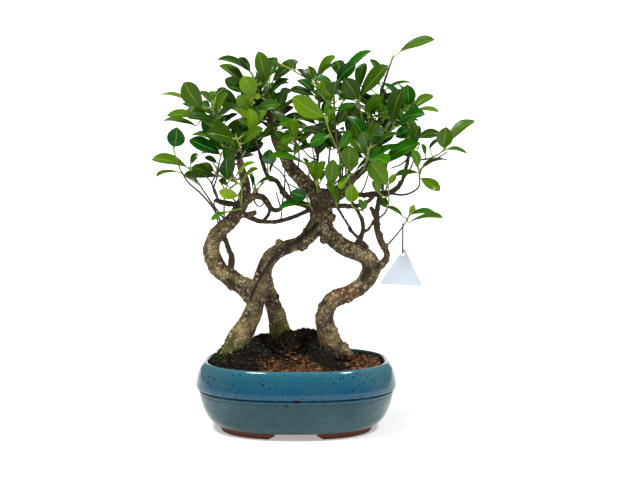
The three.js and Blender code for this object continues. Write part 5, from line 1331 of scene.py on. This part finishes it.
# %% Making each shoot
YOUNG_WOOD = 0.75
STALK_AGE = 0.05
BARKY = {"left_outer": 1.3, "left_outer_low": 1.1, "left_low": 1.2, "right_shoot": 1.8,
         "right_crown": 1.05, "right_low": 1.3, "right_tip": 1.1, "middle_high": 1.6}
STURDY = {"middle_high": 2.4, "right_shoot": 2.1, "right_crown": 1.9, "right_low": 1.8,
          "right_prominent": 1.25, "tag_twig": 1.4}
STEM, SIDE_STEM = 1.6, 1.2  # radii of a shoot's stem and of its side shoots
SIDE_SHOOT = 0.35  # a side shoot is this much as barky as its stem
BASE_AGE, TIP_YOUNGER, SHADE, TONE_ELSE = 0.66, 0.2, 0.16, 0.04
AGE_SPREAD = 0.22
BLADE_THICKNESS = 0.45
LAYERS = ("blade", "growth")
INNER_SEED, SHOOT_SEED = 8, 5


def closest(points, place):
    """The point of a route that is nearest to a place, its share of the way, and how far off."""
    best = None
    for i, (a, b) in enumerate(zip(points, points[1:])):
        run = b - a
        share = within((place - a).dot(run) / run.length_squared)
        spot = a + run * share
        if best is None or (spot - place).length < best[2]:
            best = (spot, (i + share) / (len(points) - 1), (spot - place).length)
    return best


def nearest_of(routes, place):
    """The closest point on any of several routes."""
    return min((closest(route, place) for route in routes), key=lambda found: found[2])


def make_shoot(name, dice):
    """Twigs first, then a stalk and a blade for each leaf, and at last the blades' thickness."""
    bm = bmesh.new()
    layers = [bm.verts.layers.float_vector.new(layer) for layer in LAYERS]
    routes = [[at(*point) for point in stem] for stem in TWIGS[name]]
    routes[0][0] = nearest_of((route for route, _ in WOOD.values()), routes[0][0])[0]
    leaves = LEAVES[name] + inner[name]
    roots = [nearest_of(routes, leaf[0]) for leaf in leaves]
    for number, points in enumerate(routes):
        thick = SIDE_STEM if number else STURDY.get(name, STEM)
        old = BARKY.get(name, YOUNG_WOOD) * (SIDE_SHOOT if number else 1)
        twig(bm, layers, points, thick, old, [root[0] for root in roots])
    faces = []
    for number, (leaf, (root, share, _)) in enumerate(zip(leaves, roots)):
        stalk(bm, layers, root, leaf, STALK_AGE)
        # Leaves further back and the inner leaves are drawn older, and so darker: painted shade.
        behind = SHADE if number >= len(LEAVES[name]) or leaf[1].y > BEHIND else 0
        age = BASE_AGE - TIP_YOUNGER * share + behind + TONE.get(name, TONE_ELSE)
        age += dice.uniform(-AGE_SPREAD, AGE_SPREAD)
        age, kind = LOOKS.get(name, {}).get(number, (age, None))
        faces += blade(bm, layers, leaf, within(age, low=0.02), kind, dice)
    for face in bm.faces:
        face.material_index = 1
    for face in faces:
        face.material_index = 0
    under = bmesh.ops.solidify(bm, geom=faces, thickness=BLADE_THICKNESS)["geom"]
    for part in under:
        if isinstance(part, bmesh.types.BMVert):
            part[layers[0]] = (part[layers[0]].x, part[layers[0]].y, 1)
    finish_piece("shoot_" + name, bm, [LEAF, SHOOT], ["spray_" + name], sharp=60)
    return len(leaves)


LEAVES = {name: leaves_in("spray_" + name) for name in TWIGS}
inner = grow_inner_leaves(random.Random(INNER_SEED))
dice = random.Random(SHOOT_SEED)
print("leaves:", sum(make_shoot(name, dice) for name in TWIGS))

# %% [markdown]
# ## Fine bare twigs
# Between the leafy shoots stand dead and leafless twigs, dark and about two millimetres thick. Their
# routes are given like those of the shoots. Each starts inside the wood or in another twig.

# %% Bare twigs
BARE_TWIGS = [
    [(-107, 321, -14), (-115, 332, -18), (-120, 348, -20), (-129, 359, -22)],
    [(-117, 340, -19), (-113, 352, -16), (-110, 362, -14)],
    [(-101, 287, -14), (-102, 302, -20), (-102, 318, -21), (-101, 334, -18), (-97, 346, -16)],
    [(-108, 284, -12), (-112, 296, -14), (-115, 308, -15), (-116, 318, -16)],
    [(-58, 328, -8), (-54, 339, -9), (-46, 351, -12)],
    [(-56, 334, -8), (-60, 350, -4), (-63, 364, -2)],
    [(-8, 325, 14), (-9, 339, 15), (-20, 361, 18), (-34, 373, 20)],
    [(-17, 331, 14), (-16, 350, 10), (-16, 366, 6)],
    [(-22, 313, -7), (-25, 323, -9), (-27, 330, -10)],
    [(-20, 313, -8), (-19, 325, -9), (-17, 331, -10)],
    [(-61, 327, -8), (-57, 318, -14), (-51, 314, -15), (-46, 319, -11)],
    [(-77, 312, -6), (-86, 322, -16), (-95, 331, -20), (-104, 344, -22)],
    [(-22, 294, -12), (-21, 303, -13)],
    [(-84, 345, -16), (-90, 362, -20), (-92, 380, -24), (-88, 398, -28)],
    [(103, 380, 6), (105, 395, 4), (108, 408, 2), (107, 434, -4)],
    [(64, 341, -6), (66, 370, -8), (70, 400, -12), (77, 428, -16), (84, 458, -20)],
    [(33, 415, 16), (22, 420, 14), (12, 420, 12), (6, 431, 10)],
    [(33, 400, 15), (42, 402, 8), (50, 412, 4), (60, 418, 2)],
    [(33, 404, 15), (24, 398, 8), (12, 402, 4), (2, 410, 0)],
    [(30, 380, 13), (20, 384, 6), (10, 394, 2)],
    [(157, 382, 8), (148, 374, 2), (138, 370, -2)],
    [(174, 358, -12), (178, 369, -10), (192, 378, -8), (209, 389, -8)],
    [(73, 334, 10), (80, 345, 0), (84, 358, -6), (96, 366, -14)],
    [(90, 331, 12), (96, 342, 4), (100, 354, 0)],
    [(124, 333, 8), (128, 343, 2), (127, 354, -2)],
    [(112, 404, 15), (104, 418, 18), (98, 436, 18)],
    [(95, 366, 0), (106, 380, -16), (122, 390, -24)],
    [(35, 318, -14), (28, 330, -20), (10, 336, -24), (-6, 344, -26)],
    [(46, 334, -10), (58, 350, -18), (74, 362, -22), (84, 372, -22)],
    [(0, 360, 14), (4, 380, 20), (2, 400, 26), (-6, 418, 28)],
    [(-20, 390, 16), (-12, 402, 10), (-8, 416, 6), (4, 426, 4)],
]
BARE_RADIUS, BARE_AGE = 1.3, 2.5


def make_bare_twigs():
    bm = bmesh.new()
    layers = [bm.verts.layers.float_vector.new(layer) for layer in LAYERS]
    for stem in BARE_TWIGS:
        twig(bm, layers, [at(*point) for point in stem], BARE_RADIUS, BARE_AGE, [])
    finish_piece("bare_twigs", bm, [SHOOT], [], sharp=60)


make_bare_twigs()

# %% [markdown]
# ## Moss
# Moss and algae grow where the ball stays wet: green at the feet of the trunks, black and furry
# with old roots elsewhere. Small three-sided tufts stand on the soil, thick where a noise is high.

# %% Moss
MOSS_GRAIN = 3.84615
MOSS_TRIES = 26000
MOSS_FIELD = (118, 90)
MOSS_EDGE = 3  # distance that moss keeps from the pot
LOW_SOIL, LOW_CHANCE = 2, 0.7  # so close above the edge's level, moss is this much scarcer
GREEN_REACH, GREEN_RAGGED, GREEN_WAVE, GREEN_FROM = 0.62, 0.5, 9, 0.25
BLACK_WAVE, BLACK_FROM = 13, -0.25
LEAN = 0.7
GREEN_TUFT, BLACK_TUFT = ((1.6, 3.4), 0.7), ((2.5, 7), 0.4)  # heights, and radius at the foot
SUNK = 0.4
MOSS_SEED = 3


def make_moss_finish(name, dark, light):
    """Short wet fur: matt, with light only on the tips."""
    return grained_finish(name, MOSS_GRAIN, 5, [(0.35, dark), (0.68, light)],
                          {"Roughness": 0.9, "Specular IOR Level": 0.15})


def tuft(bm, place, lean, height, radius):
    """One tuft: a thin three-sided spike."""
    turn = lean.to_track_quat("Z", "Y").to_matrix().to_4x4()
    stand = Matrix.Translation(place) @ turn @ Matrix.Translation((0, 0, height / 2 - SUNK))
    bmesh.ops.create_cone(bm, cap_ends=True, segments=3, radius1=radius, radius2=0, depth=height,
                          matrix=stand)


def make_moss():
    dice = random.Random(MOSS_SEED)
    green, black = [], []
    wide, deep = MOSS_FIELD
    for _ in range(MOSS_TRIES):
        x, y = dice.uniform(-wide, wide), dice.uniform(-deep, deep)
        if not in_pot(x, y, MOSS_EDGE) or bare_clay(x, y):
            continue
        level = soil_level(x, y)
        if level < SOIL_EDGE + LOW_SOIL and dice.random() < LOW_CHANCE:
            continue
        place = Vector((x, y, crumbled(x, y)))
        near = max(1 - (Vector((x, y, level)) - spot).length / (reach * GREEN_REACH)
                   for spot, reach in MOSSY_FEET)
        lean = Vector((dice.uniform(-LEAN, LEAN), dice.uniform(-LEAN, LEAN), 1))
        if near + GREEN_RAGGED * noise.noise(place / GREEN_WAVE) > GREEN_FROM:
            heights, radius = GREEN_TUFT
            green.append((place, lean, dice.uniform(*heights), radius))
        elif noise.noise(place / BLACK_WAVE) > BLACK_FROM:
            heights, radius = BLACK_TUFT
            black.append((place, lean, dice.uniform(*heights), radius))
    green_moss = make_moss_finish("green_moss", "#171a0a", "#464f1c")
    black_moss = make_moss_finish("black_root_felt", "#080908", "#4c4c43")
    finish_piece("moss_green", gather(tuft, green), [green_moss], [])
    finish_piece("moss_black", gather(tuft, black), [black_moss], [])


make_moss()

# %% [markdown]
# ## Tag, tie and screens
# The tag is a bare white three-cornered card on a black tie. The drain screens are woven
# plastic, hidden under the soil. Their CAD solids are fine enough, so they only get their finish.

# %% Tag, tie and screens
# Fibre and the grain of a mould are finer than this: they are as coarse as they need to show.
CARD_FIBRE, TIE_GRAIN, SCREEN_GRAIN = 1.11111, 1.66667, 2.5


def smooth_sheet(name, size, dark, light):
    """Coated card or moulded plastic: an even satin with a faint grain."""
    return grained_finish(name, size, 3, [(0.3, dark), (0.7, light)], {"Roughness": 0.5})


def refinish(node, finish):
    """Gives a CAD node its finish and leaves its mesh alone."""
    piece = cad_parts[node]
    piece.data.materials.clear()
    piece.data.materials.append(finish)


refinish("tag", smooth_sheet("coated_white_card", CARD_FIBRE, "#cdd8e4", "#d6e0eb"))
refinish("tag_tie", smooth_sheet("black_tie_plastic", TIE_GRAIN, "#0d0c0c", "#242120"))
SCREEN = smooth_sheet("polypropylene_screen", SCREEN_GRAIN, "#15181c", "#2a2f36")
for side in ("left", "right"):
    refinish("drain_screen_" + side, SCREEN)

# %% [markdown]
# ## Studio
# A plain pale floor and backdrop under an even white sky, a soft sun from the upper left, and one
# softbox high at the front right that draws the long light on the pot's shoulder.

# %% Floor, lights and camera
PAPER_CLOUD = 166.67
FLOOR_GLOW, BACKDROP_GLOW = 0.36, 0.62
FLOOR_SIZE, BACKDROP_SIZE = 12, 1.6  # in metres, from the middle to an edge
BACKDROP_PLACE = (0, 3.6, 0)
SKY = 0.25
SUN_POWER, SUN_BLUR, SUN_RAYS = 2.3, 14, (0.39, 0.32, -1)
BOX_PLACE, BOX_TARGET, BOX_SIZE, BOX_WATTS = (0.95, -0.6, 1.7), (0.03, -0.07, 0.09), (0.36, 0.22), 20
TILT = 5.3  # degrees that the camera looks down
FOCAL, SENSOR = 73.44, 36


def stage_sheet(name, glow, size, place, lean):
    """A flat sheet of white paper, lit through from behind as on a light table."""
    white = {"Roughness": 1, "Specular IOR Level": 0, "Emission Color": (1, 1, 1, 1),
             "Emission Strength": glow}
    paper = grained_finish(name + "_paper", PAPER_CLOUD, 2, [(0.3, "#f2f2f2"), (0.7, "#f5f5f5")], white)
    bm = bmesh.new()
    bmesh.ops.create_grid(bm, x_segments=1, y_segments=1, size=size,
                          matrix=Matrix.Translation(place) @ Matrix.Rotation(lean, 4, "X"))
    mesh = mesh_of(name, bm)
    mesh.materials.append(paper)
    into_scene(name, mesh)


def aimed(thing, direction):
    """Turns a light or a camera to look along a direction."""
    thing.rotation_euler = Vector(direction).to_track_quat("-Z", "Y").to_euler()
    return thing


def make_lights():
    world = bpy.data.worlds.new("soft_studio")
    bpy.context.scene.world = world
    world.use_nodes = True
    sky = world.node_tree.nodes["Background"]
    sky.inputs["Color"].default_value = (1, 1, 1, 1)
    sky.inputs["Strength"].default_value = SKY
    sun = bpy.data.lights.new("soft_sun", "SUN")
    sun.energy = SUN_POWER
    sun.angle = math.radians(SUN_BLUR)
    aimed(into_scene("soft_sun", sun), SUN_RAYS)
    light = bpy.data.lights.new("softbox_right", "AREA")
    light.shape = "RECTANGLE"
    light.size, light.size_y = BOX_SIZE
    light.energy = BOX_WATTS
    box = into_scene("softbox_right", light)
    box.location = BOX_PLACE
    aimed(box, Vector(BOX_TARGET) - Vector(BOX_PLACE))


def make_camera():
    data = bpy.data.cameras.new("camera")
    data.lens = FOCAL
    data.sensor_width = SENSOR
    camera = into_scene("camera", data)
    camera.location = TO_FRAME @ EYE
    camera.rotation_euler = (math.radians(90 - TILT), 0, 0)
    bpy.context.scene.camera = camera


stage_sheet("floor", FLOOR_GLOW, FLOOR_SIZE, (0, 0, 0), 0)
stage_sheet("backdrop", BACKDROP_GLOW, BACKDROP_SIZE, BACKDROP_PLACE, math.pi / 2)
make_lights()
make_camera()
print("camera in the frame, in metres:", [round(v, 3) for v in TO_FRAME @ EYE])
bpy.context.scene.view_settings.view_transform = "Standard"

# %% The scene brought up to date
bpy.context.view_layer.update()
